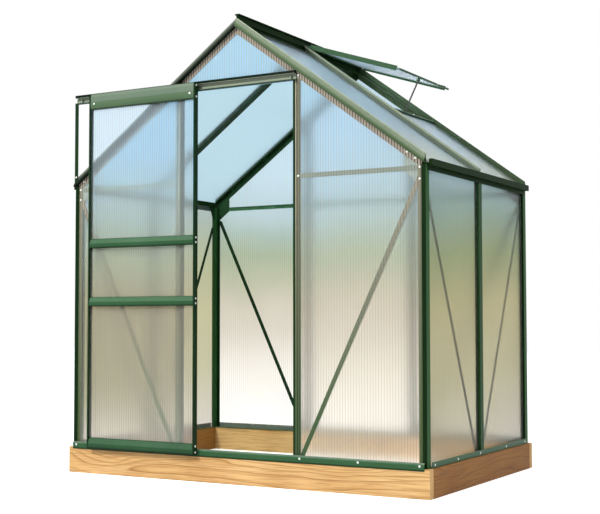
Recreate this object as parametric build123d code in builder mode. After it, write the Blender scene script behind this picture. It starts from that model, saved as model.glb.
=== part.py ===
from build123d import *

import os
from math import atan2, cos, degrees, hypot, radians, sin

# Small apex greenhouse: powder-coated bars on a wooden plinth, clad in twin-wall sheets.
# Millimetres, +Z up, +X to the right seen from the door, +Y towards the back.
# The origin is on the ground, under the centre of the whole outline.
# The door and the roof vent stand open, as they rest.

os.makedirs("parts", exist_ok=True)

# Sizes of the whole frame
frame_width = 1900  # over the outer faces of the corner posts
frame_depth = 1252  # over the outer faces of the corner posts
post_drop = 45  # top of the posts below the roof bars' outer edge there
peak_height = 2022  # outer edge of the roof bars at the ridge, above the plinth
eaves_height = 1326  # the same edge above the outer face of the posts
skin = 2  # wall of the extruded bars
sheet = 4  # thickness of the twin-wall sheets
sheet_gap = 0.5  # play round the edge of a sheet
run_past = 40  # how far a rough bar passes the plane that cuts it

# Wooden plinth
plinth_height = 125
plinth_board = 38
plinth_side_reach = 17  # past the posts at the sides
plinth_front_reach = 13  # past the posts at the front and back

# Walls
post_leg = 20  # post face seen from the front
post_depth = 36  # post face seen from the side
stud_width = 36
fin_reach = 18  # bar flange behind the edge of a sheet
gable_recess = 4  # from a gable's bar face back to its sheets
side_recess = 12  # from a side wall's bar face in to its sheets
jamb_width = 18  # door jamb face beside its sheet
jamb_depth = 22
doorway_width = 607  # clear, between the jambs
door_lap = 12  # closed door over the wall on each side
sill_drop = 9  # front lip of the sill below the plinth's top edge
sill_height = 26  # top of the sill's front wall
sill_lip = 6.5  # return along the top of the sill's front wall
sill_roll = 6  # height of the slanting band along the top of that wall
sill_roll_in = 4
sill_tread = 30  # sill's foot flange inside the frame line
sill_overrun = 12  # sill's front wall past the posts' inner faces
side_sill_height = 25
side_sill_stand = 6  # sill's wall out from the side posts' faces
side_sill_tread = 24  # sill's foot flange in from the side posts' faces

# Ties, braces and corner plates
tie_drop = 26  # tie's underside below the post tops
tie_width = 21
tie_flange = 10
brace_width = 20
brace_set = 24  # end hole of a brace from the bar beside it
brace_foot = 25  # centre of a brace's lower end above the plinth
brace_gap = 5  # gable brace's upper end below the corner plate
side_brace_drop = 40  # side brace's upper end below a gable brace's
gusset_drop = 76  # corner plate down the post
gusset_run = 84  # corner plate along the rafter, level

# Roof bars
bar_rise = 25  # bar edge out from the sheets
bar_cap_width = 16
bar_cap_height = 8
bar_web = 4
bar_foot = 40
barge_front = 18  # rafter's front edge ahead of the gable face
barge_low = 7  # rafter's front edge below the roof sheets
barge_lip = 6  # upright lip along the foot of the rafter's front face
barge_brow = 6  # steeper band along its top
barge_back = 4  # rafter's outer edge behind the gable face
barge_fin = 28  # rafter flange behind the gable sheets
roof_seat = 30  # rafter ledge under the roof sheets

# Ridge
ridge_fin_rise = 19  # fin above the roof bars' outer edge
ridge_web = 8
ridge_cap_width = 24
ridge_cap = 5
ridge_ledge = 8
ridge_ledge_drop = 38.5  # underside of the hinge ledge below the fin's top
ridge_wing = 30  # sloping flange under the roof sheets

# Gutters
gutter_width = 25
gutter_floor_drop = 6  # gutter floor's underside below the post tops
gutter_height = 28
gutter_lip = 5
gutter_skirt = 25  # gutter's back plate below the post tops
gutter_end_in = 20  # gutter's ends in from the posts' outer faces
gutter_cap = 3
gutter_cap_reach = 14  # end cap over the post's top
eaves_ledge = 24
roof_overhang = 6  # sheet ends past the posts' outer faces

# Door
door_end_in = 113  # open door's left edge in from the track's end
door_depth = 26.5
door_stand = 45  # door's front face ahead of the posts
head_gap = 16  # track's top below the roof's underside over the doorway's edge
track_reveal = 8  # track's top above the door
stile_width = 8
stile_skin = 1.5
top_rail = 78
top_rail_field = 38  # front field of the top rail, under its groove
rail_step = 1.5
rail_upright_share = 0.5  # lower part of a rail's face that is upright
rail_lean = 7  # how far the upper part leans back
top_rail_brow = 14  # leaning band along the top of the top rail
top_rail_lean = 5.5
top_rail_tuck = 20  # band along the foot of the top rail that leans back
top_rail_tuck_in = 3
mid_rail = 46
upper_rail_height = 972
lower_rail_height = 688
bottom_rail = 52
rail_flange = 24
door_sheet_set = 15  # door sheets behind the door's front face

# Door track and rollers
track_height = 44
track_depth = 16
track_end_in = 6  # track's left end in from the post's outer face
track_clear = 0.5
track_hook = 14  # front lip hanging from the track's top
track_kerb = 6  # front lip standing on the track's floor
track_skin = 1.5
hanger_width = 20
hanger_thickness = 3
roller_radius = 11
roller_width = 6
roller_inset = 30  # roller axis in from the rail's end
roller_set = 7  # roller's back face ahead of the posts
rolling_gap = 0.3
axle_radius = 3
axle_play = 0.08
collar_radius = 4.5
collar_width = 1.5
bracket_width = 28
bracket_drop = 34  # bracket below the roller's axis
bracket_rise = 8
spacer_drop = 49  # bracket bolt below the door's top
spacer_radius = 6
stop_width = 4
stop_height = 22
stop_inset = 38  # left stop in from the track's end

# Roof vent
vent_swing = 18  # how far the vent stands from closed
vent_play = 4  # vent frame beside the mid bar's cap
vent_end_play = 8  # vent frame beside the back rafter
hinge_x = 10
hinge_drop = 12  # hinge line below the roof bars' outer edge at the ridge
hinge_bead = 5
vent_length = 556
vent_frame_rise = 8  # vent's sheet and lips above its hinge line
vent_rail_rise = 16  # vent's side rails above that line
vent_rail_drop = 8  # vent's side rails below that line
vent_stile_start = 26
vent_stile_end = 534
vent_lip = 14
vent_lip_start = 11
drip_lip = 10
vent_sill_place = 538  # down the slope from the ridge line
vent_sill_rise = 9
vent_sill_lip = 12
vent_sill_foot = 18

# Vent stay
stay_place = 532  # pivot along the vent from its hinge
stay_set = 12  # pivot below the vent's hinge line
stay_off = 30  # stay's distance from the vent's middle
stay_width = 15
stay_thickness = 2
stay_eye = 4.5
stay_pin = 2.5
stay_pin_play = 0.1
stay_foot_gap = 0.5
ear_gap = 0.5
peg_radius = 4
peg_height = 4
peg_off = 60

# Bolts
bolt_radius = 5
bolt_top_share = 0.6
bolt_height = 3
sill_bolt = 12  # height of the sill's bolts above the plinth
corner_bolt_in = 9  # corner plate's two lower bolts, in from the post
corner_bolt_set = 12  # the upper of them below the post's top
corner_bolt_drop = 62  # the lower of them below the post's top
corner_bolt_mid = 29  # third bolt, on the rafter, in from the post
corner_bolt_out = 68  # fourth bolt, on the rafter, in from the post
rafter_bolt_drop = 9  # rafter's bolts below the foot of its face
jamb_bolt_foot = 15
jamb_bolt_out = 7  # bolts on the sheet beside a jamb, out from the jamb's face
hanger_bolt_rise = 24  # hanger's bolt above the roof sheets' outer face there
door_bolt_set = 12  # side bolts of the door behind its front face
door_bolt_in = 12  # side bolts from the edges of the rail
front_bolt_shares = (0.37, 0.68, 0.99)  # sill bolts, out from the middle to the post
side_bolt_shares = (-0.95, -0.52, -0.07, 0.5, 0.95)  # sill bolts along the wall

# Places that follow
half_width = frame_width / 2
post_height = eaves_height - post_drop
door_width = doorway_width + 2 * door_lap
slope = atan2(peak_height - eaves_height, half_width)
up, down = cos(slope), sin(slope)
front_reach = door_stand + bolt_height
back_reach = max(barge_front, plinth_front_reach)
mid_y = (front_reach - back_reach) / 2
front_y = mid_y - frame_depth / 2
back_y = mid_y + frame_depth / 2
ground = plinth_height
ridge_z = ground + peak_height - bar_rise / up
post_top = ground + post_height
post_in = half_width - post_leg
post_back = frame_depth / 2 - post_depth
sheet_front = gable_recess
fin_front = sheet_front + sheet
plate_front = fin_front + skin
side_sheet = half_width - side_recess - sheet
side_fin = side_sheet - skin
side_plate = side_fin - skin
jamb_in = doorway_width / 2
jamb_out = jamb_in + jamb_width
jamb_fin = jamb_out + fin_reach
track_left = half_width - track_end_in
track_right = jamb_out
web_back = barge_back + skin
barge_floor = -barge_low - skin
fin_low = barge_floor - barge_fin + skin
sheet_low = -sheet
seat_low = sheet_low - skin
eave_end = (half_width + roof_overhang) / up
side_fold = Plane.YZ
end_fold = Plane.XZ.offset(-mid_y)


def down_slope(along, out=0):
    """Point on the right slope: along it from the ridge line, and out from its sheets."""
    return (along * up + out * down, mid_y, ridge_z - along * down + out * up)


def slope_section(along):
    """Plane across the right slope; its x is the distance back from the middle, its y is outwards."""
    return Plane(origin=down_slope(along), x_dir=(0, 1, 0), z_dir=(up, 0, -down))


def roof_cut(out):
    """Plane parallel to the right slope, facing outwards."""
    return Plane(origin=down_slope(0, out), x_dir=(0, 1, 0), z_dir=(down, 0, up))


def slope_height(x, out=0):
    """Height of that parallel plane over a distance x from the middle."""
    return ridge_z + out / up - abs(x) * down / up


def box_between(low, high):
    """Box by two opposite corners, joined to the part under way."""
    with Locations(tuple((a + b) / 2 for a, b in zip(low, high))):
        Box(*(b - a for a, b in zip(low, high)))


def rect(low_x, low_y, high_x, high_y, mode=Mode.ADD):
    """Rectangle by two opposite corners, in the sketch under way."""
    with Locations(((low_x + high_x) / 2, (low_y + high_y) / 2)):
        Rectangle(high_x - low_x, high_y - low_y, mode=mode)


def folded_plate(*line):
    """Section of a plate folded along a line of points, its wall behind the line."""
    behind = tuple((x + skin, y) for x, y in reversed(line))
    Polygon(*line, *behind, align=None)


def finish(piece, label):
    """Name a finished piece and write it."""
    piece.part.label = label
    export_step(piece.part, f"parts/{label}.step")


# Plinth: front and back boards run through, side boards butt between them
plinth_x = half_width + plinth_side_reach
plinth_front = front_y - plinth_front_reach
plinth_back = back_y + plinth_front_reach

with BuildPart() as plinth_front_board:
    box_between((-plinth_x, plinth_front, 0), (plinth_x, plinth_front + plinth_board, ground))
finish(plinth_front_board, "plinth_front_board")

with BuildPart() as plinth_back_board:
    mirror(plinth_front_board.part, about=end_fold)
finish(plinth_back_board, "plinth_back_board")

with BuildPart() as plinth_right_board:
    box_between(
        (plinth_x - plinth_board, plinth_front + plinth_board, 0),
        (plinth_x, plinth_back - plinth_board, ground),
    )
finish(plinth_right_board, "plinth_right_board")

with BuildPart() as plinth_left_board:
    mirror(plinth_right_board.part, about=side_fold)
finish(plinth_left_board, "plinth_left_board")

# Sills
sill_front = -plinth_front_reach - skin
with BuildPart() as front_sill:
    with BuildSketch(Plane.YZ.offset(-post_in)):
        with Locations((front_y, ground)):
            Polygon(
                (-plinth_front_reach, 0),
                (sill_tread, 0),
                (sill_tread, skin),
                (-plinth_front_reach, skin),
                align=None,
            )
    extrude(amount=2 * post_in)
    with BuildSketch(Plane.YZ.offset(-post_in - sill_overrun)):
        with Locations((front_y, ground)):
            folded_plate(
                (sill_front, -sill_drop),
                (sill_front, sill_height - sill_roll),
                (sill_front + sill_roll_in, sill_height),
            )
            Polygon(
                (sill_front + sill_roll_in, sill_height - skin),
                (sill_front + sill_lip, sill_height - skin),
                (sill_front + sill_lip, sill_height),
                (sill_front + sill_roll_in, sill_height),
                align=None,
            )
    extrude(amount=2 * (post_in + sill_overrun))
finish(front_sill, "front_sill")

with BuildPart() as back_sill:
    mirror(front_sill.part, about=end_fold)
finish(back_sill, "back_sill")

with BuildPart() as right_sill:
    with BuildSketch(Plane.XZ.offset(post_back - mid_y)):
        with Locations((half_width, ground)):
            Polygon(
                (-side_sill_tread, 0),
                (side_sill_stand, 0),
                (side_sill_stand, side_sill_height),
                (side_sill_stand - skin, side_sill_height),
                (side_sill_stand - skin, skin),
                (-side_sill_tread, skin),
                align=None,
            )
    extrude(amount=-2 * post_back)
finish(right_sill, "right_sill")

with BuildPart() as left_sill:
    mirror(right_sill.part, about=side_fold)
finish(left_sill, "left_sill")

# Corner posts: a square nose with a flange behind each wall's sheets
with BuildPart() as corner_post_front_right:
    with BuildSketch(Plane.XY.offset(ground)):
        rect(post_in, front_y, half_width, front_y + post_depth)
        rect(
            post_in + skin,
            front_y + skin,
            half_width - skin,
            front_y + post_depth - skin,
            mode=Mode.SUBTRACT,
        )
    extrude(amount=post_height)
    with BuildSketch(Plane.XY.offset(ground + skin)):
        rect(post_in - fin_reach, front_y + fin_front, post_in, front_y + plate_front)
        rect(
            side_fin,
            front_y + post_depth,
            side_sheet,
            front_y + post_depth + fin_reach,
        )
    extrude(amount=post_height - skin)
    split(bisect_by=Plane.XY.offset(post_top), keep=Keep.BOTTOM)
finish(corner_post_front_right, "corner_post_front_right")

with BuildPart() as corner_post_front_left:
    mirror(corner_post_front_right.part, about=side_fold)
finish(corner_post_front_left, "corner_post_front_left")

with BuildPart() as corner_post_back_right:
    mirror(corner_post_front_right.part, about=end_fold)
finish(corner_post_back_right, "corner_post_back_right")

with BuildPart() as corner_post_back_left:
    mirror(corner_post_front_left.part, about=end_fold)
finish(corner_post_back_left, "corner_post_back_left")

# Door jambs and back studs, cut to the slope under the rafters
with BuildPart() as door_jamb_right:
    with BuildSketch(Plane.XY.offset(ground + skin)):
        rect(jamb_in, front_y, jamb_out, front_y + jamb_depth)
        rect(
            jamb_in + skin,
            front_y + skin,
            jamb_out - skin,
            front_y + jamb_depth - skin,
            mode=Mode.SUBTRACT,
        )
        rect(jamb_out, front_y + fin_front, jamb_fin, front_y + plate_front)
    extrude(amount=peak_height)
    split(bisect_by=roof_cut(fin_low), keep=Keep.BOTTOM)
finish(door_jamb_right, "door_jamb_right")

with BuildPart() as door_jamb_left:
    mirror(door_jamb_right.part, about=side_fold)
finish(door_jamb_left, "door_jamb_left")

stud_x = (jamb_in + jamb_fin) / 2
with BuildPart() as back_studs:
    with BuildSketch(Plane.XY.offset(ground + skin)):
        low_x = stud_x - jamb_width / 2
        high_x = stud_x + jamb_width / 2
        rect(low_x, back_y - jamb_depth, high_x, back_y)
        rect(
            low_x + skin,
            back_y - jamb_depth + skin,
            high_x - skin,
            back_y - skin,
            mode=Mode.SUBTRACT,
        )
        rect(low_x - fin_reach, back_y - plate_front, low_x, back_y - fin_front)
        rect(high_x, back_y - plate_front, high_x + fin_reach, back_y - fin_front)
    extrude(amount=peak_height)
    split(bisect_by=roof_cut(fin_low), keep=Keep.BOTTOM)
    mirror(about=side_fold)
finish(back_studs, "back_studs")

# Side studs
stud_half = stud_width / 2
with BuildPart() as side_stud_right:
    with BuildSketch(Plane.XY.offset(ground + skin)):
        rect(post_in, mid_y - stud_half, half_width, mid_y + stud_half)
        rect(
            post_in + skin,
            mid_y - stud_half + skin,
            half_width - skin,
            mid_y + stud_half - skin,
            mode=Mode.SUBTRACT,
        )
        rect(side_fin, mid_y - stud_half - fin_reach, side_sheet, mid_y - stud_half)
        rect(side_fin, mid_y + stud_half, side_sheet, mid_y + stud_half + fin_reach)
    extrude(amount=post_height - skin)
finish(side_stud_right, "side_stud_right")

with BuildPart() as side_stud_left:
    mirror(side_stud_right.part, about=side_fold)
finish(side_stud_left, "side_stud_left")

# Gable rafters: a slanting barge face, a flange behind the gable sheets, a roof ledge
lip_top = barge_lip - barge_low
brow_foot = bar_rise - barge_brow
face_rise = brow_foot - lip_top
barge_line = (
    (-barge_front, barge_floor),
    (-barge_front, lip_top),
    (0, brow_foot),
    (barge_back, bar_rise),
)
front_back = front_y - mid_y
ridge_half = ridge_web / 2
wing_out = ridge_half + ridge_wing
seat_start = (wing_out + 2 * skin) / up
with BuildPart() as gable_rafter_front_right:
    with BuildSketch(slope_section(-run_past)):
        rect(front_back + fin_front, fin_low, front_back + plate_front, barge_floor)
    extrude(amount=eave_end + run_past)
    split(bisect_by=Plane.YZ.offset(post_in - fin_reach), keep=Keep.BOTTOM)
    with BuildSketch(slope_section(-run_past)):
        with Locations((front_back, 0)):
            folded_plate(*barge_line)
        rect(front_back + barge_back, barge_floor, front_back + web_back, bar_rise)
        rect(front_back - barge_front, barge_floor, front_back + plate_front, -barge_low)
    extrude(amount=eave_end + 2 * run_past)
    with BuildSketch(slope_section(seat_start)):
        rect(front_back + web_back, seat_low, front_back + web_back + roof_seat, sheet_low)
    extrude(amount=eave_end)
    split(bisect_by=Plane.YZ, keep=Keep.TOP)
    split(bisect_by=Plane.YZ.offset(half_width), keep=Keep.BOTTOM)
finish(gable_rafter_front_right, "gable_rafter_front_right")

sheet_top_out = barge_floor - sheet_gap
track_top = slope_height(jamb_in, sheet_top_out) - head_gap
track_low = track_top - track_height
track_face = front_y - track_depth
with BuildPart() as track_notch:
    box_between(
        (-half_width, front_y - barge_front - run_past, track_low - track_clear),
        (0, front_y + track_clear, track_top + track_clear),
    )

with BuildPart() as gable_rafter_front_left:
    mirror(gable_rafter_front_right.part, about=side_fold)
    add(track_notch.part, mode=Mode.SUBTRACT)
finish(gable_rafter_front_left, "gable_rafter_front_left")

with BuildPart() as gable_rafter_back_right:
    mirror(gable_rafter_front_right.part, about=end_fold)
finish(gable_rafter_back_right, "gable_rafter_back_right")

with BuildPart() as gable_rafter_back_left:
    mirror(gable_rafter_back_right.part, about=side_fold)
finish(gable_rafter_back_left, "gable_rafter_back_left")

# Ridge bar: fin, hinge ledges on both sides, sloping wings under the sheets
cap_half = ridge_cap_width / 2
ridge_top = ground + peak_height + ridge_fin_rise
ledge_low = ridge_top - ridge_ledge_drop
ledge_out = ridge_half + ridge_ledge
ridge_foot = slope_height(ridge_half, seat_low)
ridge_length = frame_depth - 2 * web_back
with BuildPart() as ridge_bar:
    with BuildSketch(Plane.XZ.offset(ridge_length / 2 - mid_y)):
        Polygon(
            (0, slope_height(0, seat_low)),
            (ridge_half, ridge_foot),
            (ridge_half, ridge_top),
            (-ridge_half, ridge_top),
            (-ridge_half, ridge_foot),
            align=None,
        )
        rect(-cap_half, ridge_top - ridge_cap, cap_half, ridge_top)
        rect(-ledge_out, ledge_low, ledge_out, ledge_low + skin)
        Polygon(
            (0, slope_height(0, sheet_low)),
            (wing_out, slope_height(wing_out, sheet_low)),
            (wing_out, slope_height(wing_out, seat_low)),
            (0, slope_height(0, seat_low)),
            align=None,
        )
        Polygon(
            (0, slope_height(0, sheet_low)),
            (0, slope_height(0, seat_low)),
            (-wing_out, slope_height(wing_out, seat_low)),
            (-wing_out, slope_height(wing_out, sheet_low)),
            align=None,
        )
    extrude(amount=-ridge_length)
finish(ridge_bar, "ridge_bar")

# Middle roof bars: a cap on a thin web over a foot that carries the sheets
cap_reach = bar_cap_width / 2
foot_reach = bar_foot / 2
web_reach = bar_web / 2
with BuildPart() as roof_bar_right:
    with BuildSketch(slope_section(-run_past)):
        rect(-web_reach, sheet_low, web_reach, bar_rise)
        rect(-cap_reach, bar_rise - bar_cap_height, cap_reach, bar_rise)
        rect(-cap_reach + skin, bar_rise - bar_cap_height, -web_reach, bar_rise - skin, Mode.SUBTRACT)
        rect(web_reach, bar_rise - bar_cap_height, cap_reach - skin, bar_rise - skin, Mode.SUBTRACT)
    extrude(amount=eave_end + 2 * run_past)
    split(bisect_by=Plane.YZ.offset(ledge_out + skin), keep=Keep.TOP)
    with BuildSketch(slope_section(seat_start)):
        rect(-foot_reach, seat_low, foot_reach, sheet_low)
    extrude(amount=eave_end)
    split(bisect_by=Plane.YZ.offset(half_width), keep=Keep.BOTTOM)
finish(roof_bar_right, "roof_bar_right")

with BuildPart() as roof_bar_left:
    mirror(roof_bar_right.part, about=side_fold)
finish(roof_bar_left, "roof_bar_left")

# Gutters, one with the eaves bar behind each
gutter_length = frame_depth - 2 * gutter_end_in
gutter_out = half_width + gutter_width
gutter_floor = post_top - gutter_floor_drop
gutter_rim = gutter_floor + gutter_height
ledge_in = half_width - eaves_ledge
ledge_top = post_top + skin
with BuildPart() as gutter_right:
    with BuildSketch(Plane.XZ.offset(gutter_length / 2 - mid_y)):
        rect(half_width, post_top - gutter_skirt, half_width + skin, ledge_top)
        rect(half_width, gutter_floor, gutter_out, gutter_floor + skin)
        rect(gutter_out - skin, gutter_floor, gutter_out, gutter_rim)
        rect(gutter_out - gutter_lip, gutter_rim - skin, gutter_out, gutter_rim)
        rect(ledge_in, post_top, half_width + skin, ledge_top)
        Polygon(
            (ledge_in, ledge_top),
            (ledge_in + skin, ledge_top),
            (ledge_in + skin, slope_height(ledge_in + skin, seat_low)),
            (ledge_in, slope_height(ledge_in, seat_low)),
            align=None,
        )
    extrude(amount=-gutter_length)
finish(gutter_right, "gutter_right")

with BuildPart() as gutter_left:
    mirror(gutter_right.part, about=side_fold)
finish(gutter_left, "gutter_left")

cap_in = half_width - gutter_cap_reach
cap_step = half_width + roof_overhang + skin
with BuildPart() as gutter_end_caps:
    with BuildSketch(Plane.XZ.offset(gutter_length / 2 + gutter_cap - mid_y)):
        Polygon(
            (cap_in, post_top),
            (half_width, post_top),
            (half_width, gutter_floor),
            (gutter_out, gutter_floor),
            (gutter_out, gutter_rim),
            (cap_step, gutter_rim),
            (cap_step, slope_height(cap_step, seat_low)),
            (cap_in, slope_height(cap_in, seat_low)),
            align=None,
        )
    extrude(amount=-gutter_cap)
    mirror(about=side_fold)
    mirror(about=end_fold)
finish(gutter_end_caps, "gutter_end_caps")

# Corner plates, ties and braces, inside the sheets
gusset_in = post_in - gusset_run
gusset_low = post_top - gusset_drop
tie_low = post_top - tie_drop
tie_top = tie_low + tie_width
with BuildPart() as gusset_plates:
    with BuildSketch(Plane.XZ.offset(-front_y - plate_front)):
        Polygon(
            (post_in, gusset_low),
            (post_in, slope_height(post_in, barge_floor)),
            (gusset_in, slope_height(gusset_in, barge_floor)),
            (gusset_in, tie_top),
            (gusset_in, tie_low),
            (post_in - fin_reach, gusset_low),
            align=None,
        )
    extrude(amount=-skin)
    with BuildSketch(Plane.YZ.offset(side_plate)):
        with Locations((front_y + post_depth, 0)):
            Polygon(
                (0, gusset_low),
                (0, post_top),
                (post_depth + fin_reach, post_top),
                (fin_reach, gusset_low),
                align=None,
            )
    extrude(amount=skin)
    mirror(about=side_fold)
    mirror(about=end_fold)
finish(gusset_plates, "gusset_plates")

with BuildPart() as gable_ties:
    box_between(
        (jamb_out, front_y + plate_front, tie_low),
        (gusset_in, front_y + plate_front + skin, tie_top),
    )
    box_between(
        (jamb_out, front_y + plate_front, tie_top - skin),
        (gusset_in, front_y + plate_front + tie_flange, tie_top),
    )
    mirror(about=side_fold)
    box_between(
        (stud_x + jamb_width / 2, back_y - plate_front - skin, tie_low),
        (gusset_in, back_y - plate_front, tie_top),
    )
    box_between(
        (stud_x + jamb_width / 2, back_y - plate_front - tie_flange, tie_top - skin),
        (gusset_in, back_y - plate_front, tie_top),
    )
    mirror(about=side_fold)
    middle_tie = stud_x - jamb_width / 2
    box_between(
        (-middle_tie, back_y - plate_front - skin, tie_low),
        (middle_tie, back_y - plate_front, tie_top),
    )
    box_between(
        (-middle_tie, back_y - plate_front - tie_flange, tie_top - skin),
        (middle_tie, back_y - plate_front, tie_top),
    )
finish(gable_ties, "gable_ties")


def brace(face, low, high):
    """Flat bar with round ends between two points of a plane, joined to the part under way."""
    run, rise = high[0] - low[0], high[1] - low[1]
    with BuildSketch(face) as bar:
        with Locations(((low[0] + high[0]) / 2, (low[1] + high[1]) / 2)):
            SlotCenterToCenter(hypot(run, rise), brace_width, rotation=degrees(atan2(rise, run)))
    extrude(bar.sketch, amount=skin)


brace_low = ground + brace_foot
brace_high = gusset_low - brace_gap - brace_width / 2
side_brace_high = brace_high - side_brace_drop
with BuildPart() as front_braces:
    brace(
        Plane.XZ.offset(-front_y - plate_front - skin),
        (jamb_out + brace_set, brace_low),
        (post_in - brace_set, brace_high),
    )
    mirror(about=side_fold)
finish(front_braces, "front_braces")

with BuildPart() as back_braces:
    brace(
        Plane.XZ.offset(-back_y + plate_front),
        (stud_x + jamb_width / 2 + brace_set, brace_low),
        (post_in - brace_set, brace_high),
    )
    mirror(about=side_fold)
finish(back_braces, "back_braces")

with BuildPart() as right_braces:
    brace(
        Plane.YZ.offset(side_plate),
        (mid_y - stud_half - brace_set, brace_low),
        (mid_y - post_back + brace_set, side_brace_high),
    )
    mirror(about=end_fold)
finish(right_braces, "right_braces")

with BuildPart() as left_braces:
    mirror(right_braces.part, about=side_fold)
finish(left_braces, "left_braces")

# Wall sheets
sheet_foot = ground + skin + sheet_gap


def gable_sheet(outside, low_x, high_x, foot):
    """Sheet of the front or back wall between two uprights, up to the rafters."""
    points = [(low_x, foot), (high_x, foot), (high_x, slope_height(high_x, sheet_top_out))]
    if low_x < 0:
        points.append((0, slope_height(0, sheet_top_out)))
    points.append((low_x, slope_height(low_x, sheet_top_out)))
    with BuildSketch(Plane.XZ.offset(-outside)) as outline:
        Polygon(*points, align=None)
    extrude(outline.sketch, amount=-sheet)


with BuildPart() as front_right_panel:
    gable_sheet(front_y + sheet_front, jamb_out + sheet_gap, post_in - sheet_gap, sheet_foot)
finish(front_right_panel, "front_right_panel")

with BuildPart() as front_left_panel:
    mirror(front_right_panel.part, about=side_fold)
finish(front_left_panel, "front_left_panel")

head_half = jamb_in - sheet_gap
with BuildPart() as front_top_panel:
    gable_sheet(front_y + sheet_front, -head_half, head_half, track_low)
finish(front_top_panel, "front_top_panel")

back_face = back_y - sheet_front - sheet
stud_out = stud_x + jamb_width / 2 + sheet_gap
stud_in = stud_x - jamb_width / 2 - sheet_gap
with BuildPart() as back_panels:
    gable_sheet(back_face, stud_out, post_in - sheet_gap, sheet_foot)
    mirror(about=side_fold)
    gable_sheet(back_face, -stud_in, stud_in, sheet_foot)
finish(back_panels, "back_panels")

with BuildPart() as right_wall_panels:
    box_between(
        (side_sheet, mid_y - post_back + sheet_gap, sheet_foot),
        (side_sheet + sheet, mid_y - stud_half - sheet_gap, post_top - sheet_gap),
    )
    mirror(about=end_fold)
finish(right_wall_panels, "right_wall_panels")

with BuildPart() as left_wall_panels:
    mirror(right_wall_panels.part, about=side_fold)
finish(left_wall_panels, "left_wall_panels")

# Roof sheets; the back bay on the right starts below the vent
sheet_end = back_y - mid_y - web_back - sheet_gap
with BuildPart() as left_roof_panels:
    with BuildSketch(slope_section(-run_past)):
        rect(web_reach + sheet_gap, sheet_low, sheet_end, 0)
    extrude(amount=eave_end + run_past)
    split(bisect_by=Plane.YZ.offset(ridge_half + sheet_gap), keep=Keep.TOP)
    mirror(about=end_fold)
    mirror(about=side_fold)
    split(bisect_by=Plane.YZ, keep=Keep.BOTTOM)
finish(left_roof_panels, "left_roof_panels")

lower_start = vent_sill_place + skin + sheet_gap
with BuildPart() as right_roof_panels:
    with BuildSketch(slope_section(-run_past)):
        rect(-sheet_end, sheet_low, -web_reach - sheet_gap, 0)
    extrude(amount=eave_end + run_past)
    split(bisect_by=Plane.YZ.offset(ridge_half + sheet_gap), keep=Keep.TOP)
    with BuildSketch(slope_section(lower_start)):
        rect(web_reach + sheet_gap, sheet_low, sheet_end, 0)
    extrude(amount=eave_end - lower_start)
finish(right_roof_panels, "right_roof_panels")

# Vent sill across the back bay, with a peg for the stay
sill_origin = down_slope(vent_sill_place)


def sill_section(y):
    """Plane across the vent sill; its x runs down the slope and its y outwards."""
    return Plane(origin=(sill_origin[0], y, sill_origin[2]), x_dir=(up, 0, -down), z_dir=(0, -1, 0))


with BuildPart() as vent_sill:
    sill_near = mid_y + web_reach
    with BuildSketch(sill_section(sill_near)):
        rect(0, sheet_low, skin, vent_sill_rise)
        rect(0, vent_sill_rise - skin, vent_sill_lip, vent_sill_rise)
    extrude(amount=sill_near - (back_y - web_back))
    foot_near = mid_y + foot_reach
    with BuildSketch(sill_section(foot_near)):
        rect(0, seat_low, vent_sill_foot, sheet_low)
    extrude(amount=foot_near - (back_y - web_back - roof_seat))
finish(vent_sill, "vent_sill")

# Door track: a channel open to the front, with a stop near each end
door_front = front_y - door_stand
roller_z = track_low + track_skin + rolling_gap + roller_radius
door_left = door_end_in - track_left
door_right = door_left + door_width
door_open = -(door_left + door_right) / 2  # how far the door stands from closed
roller_left_x = door_left + roller_inset
roller_right_x = door_right - roller_inset
stop_left = -track_left + stop_inset + stop_width
stop_right = roller_right_x + door_open + roller_radius + rolling_gap
track_span = track_left + track_right
track_plates = []
for near, far, low, high in (
    (front_y - track_skin, front_y, track_low, track_top),
    (track_face, front_y - track_skin, track_low, track_low + track_skin),
    (track_face, front_y - track_skin, track_top - track_skin, track_top),
    (track_face, track_face + track_skin, track_low + track_skin, track_low + track_kerb),
    (track_face, track_face + track_skin, track_top - track_hook, track_top - track_skin),
):
    with BuildPart() as track_plate:
        with BuildSketch(Plane.YZ.offset(-track_left)):
            rect(near, low, far, high)
        extrude(amount=track_span)
    track_plates.append(track_plate.part.solid())
for stop in (stop_left - stop_width, stop_right):
    with BuildPart() as track_stop:
        box_between(
            (stop, track_face + track_skin, track_low + track_skin),
            (stop + stop_width, front_y - track_skin, track_low + stop_height),
        )
    track_plates.append(track_stop.part.solid())
door_track = Compound(track_plates, label="door_track")
export_step(door_track, "parts/door_track.step")

# Hanger bar under the track's left end, standing on the rafter's slanting face
barge_face = Plane(
    origin=(0, front_y - barge_front, slope_height(0, lip_top)),
    x_dir=(up, 0, -down),
    z_dir=(barge_front * down, -face_rise, barge_front * up),
)
hanger_face = track_face
with BuildPart() as hanger_blank:
    box_between(
        (track_left - hanger_width, hanger_face, slope_height(track_left) - run_past),
        (track_left, hanger_face + hanger_thickness, track_low),
    )
    split(bisect_by=barge_face, keep=Keep.TOP)
with BuildPart() as track_hanger:
    mirror(hanger_blank.part, about=side_fold)
finish(track_hanger, "track_hanger")

# Door frame: two channel stiles, rails between them
door_foot = ground
door_top = track_top - track_reveal
door_height = door_top - door_foot
door_back = door_front + door_depth
rail_left = door_left + stile_width
rail_right = door_right - stile_width
rail_back = door_front + rail_flange
with BuildPart() as door_stiles:
    with BuildSketch(Plane.XY.offset(door_foot)):
        rect(door_right - stile_width, door_front, door_right, door_back)
        rect(
            door_right - stile_width,
            door_front + stile_skin,
            door_right - stile_skin,
            door_back - stile_skin,
            Mode.SUBTRACT,
        )
    extrude(amount=door_height)
    mirror(about=Plane.YZ.offset((door_left + door_right) / 2))
finish(door_stiles, "door_stiles")


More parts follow.
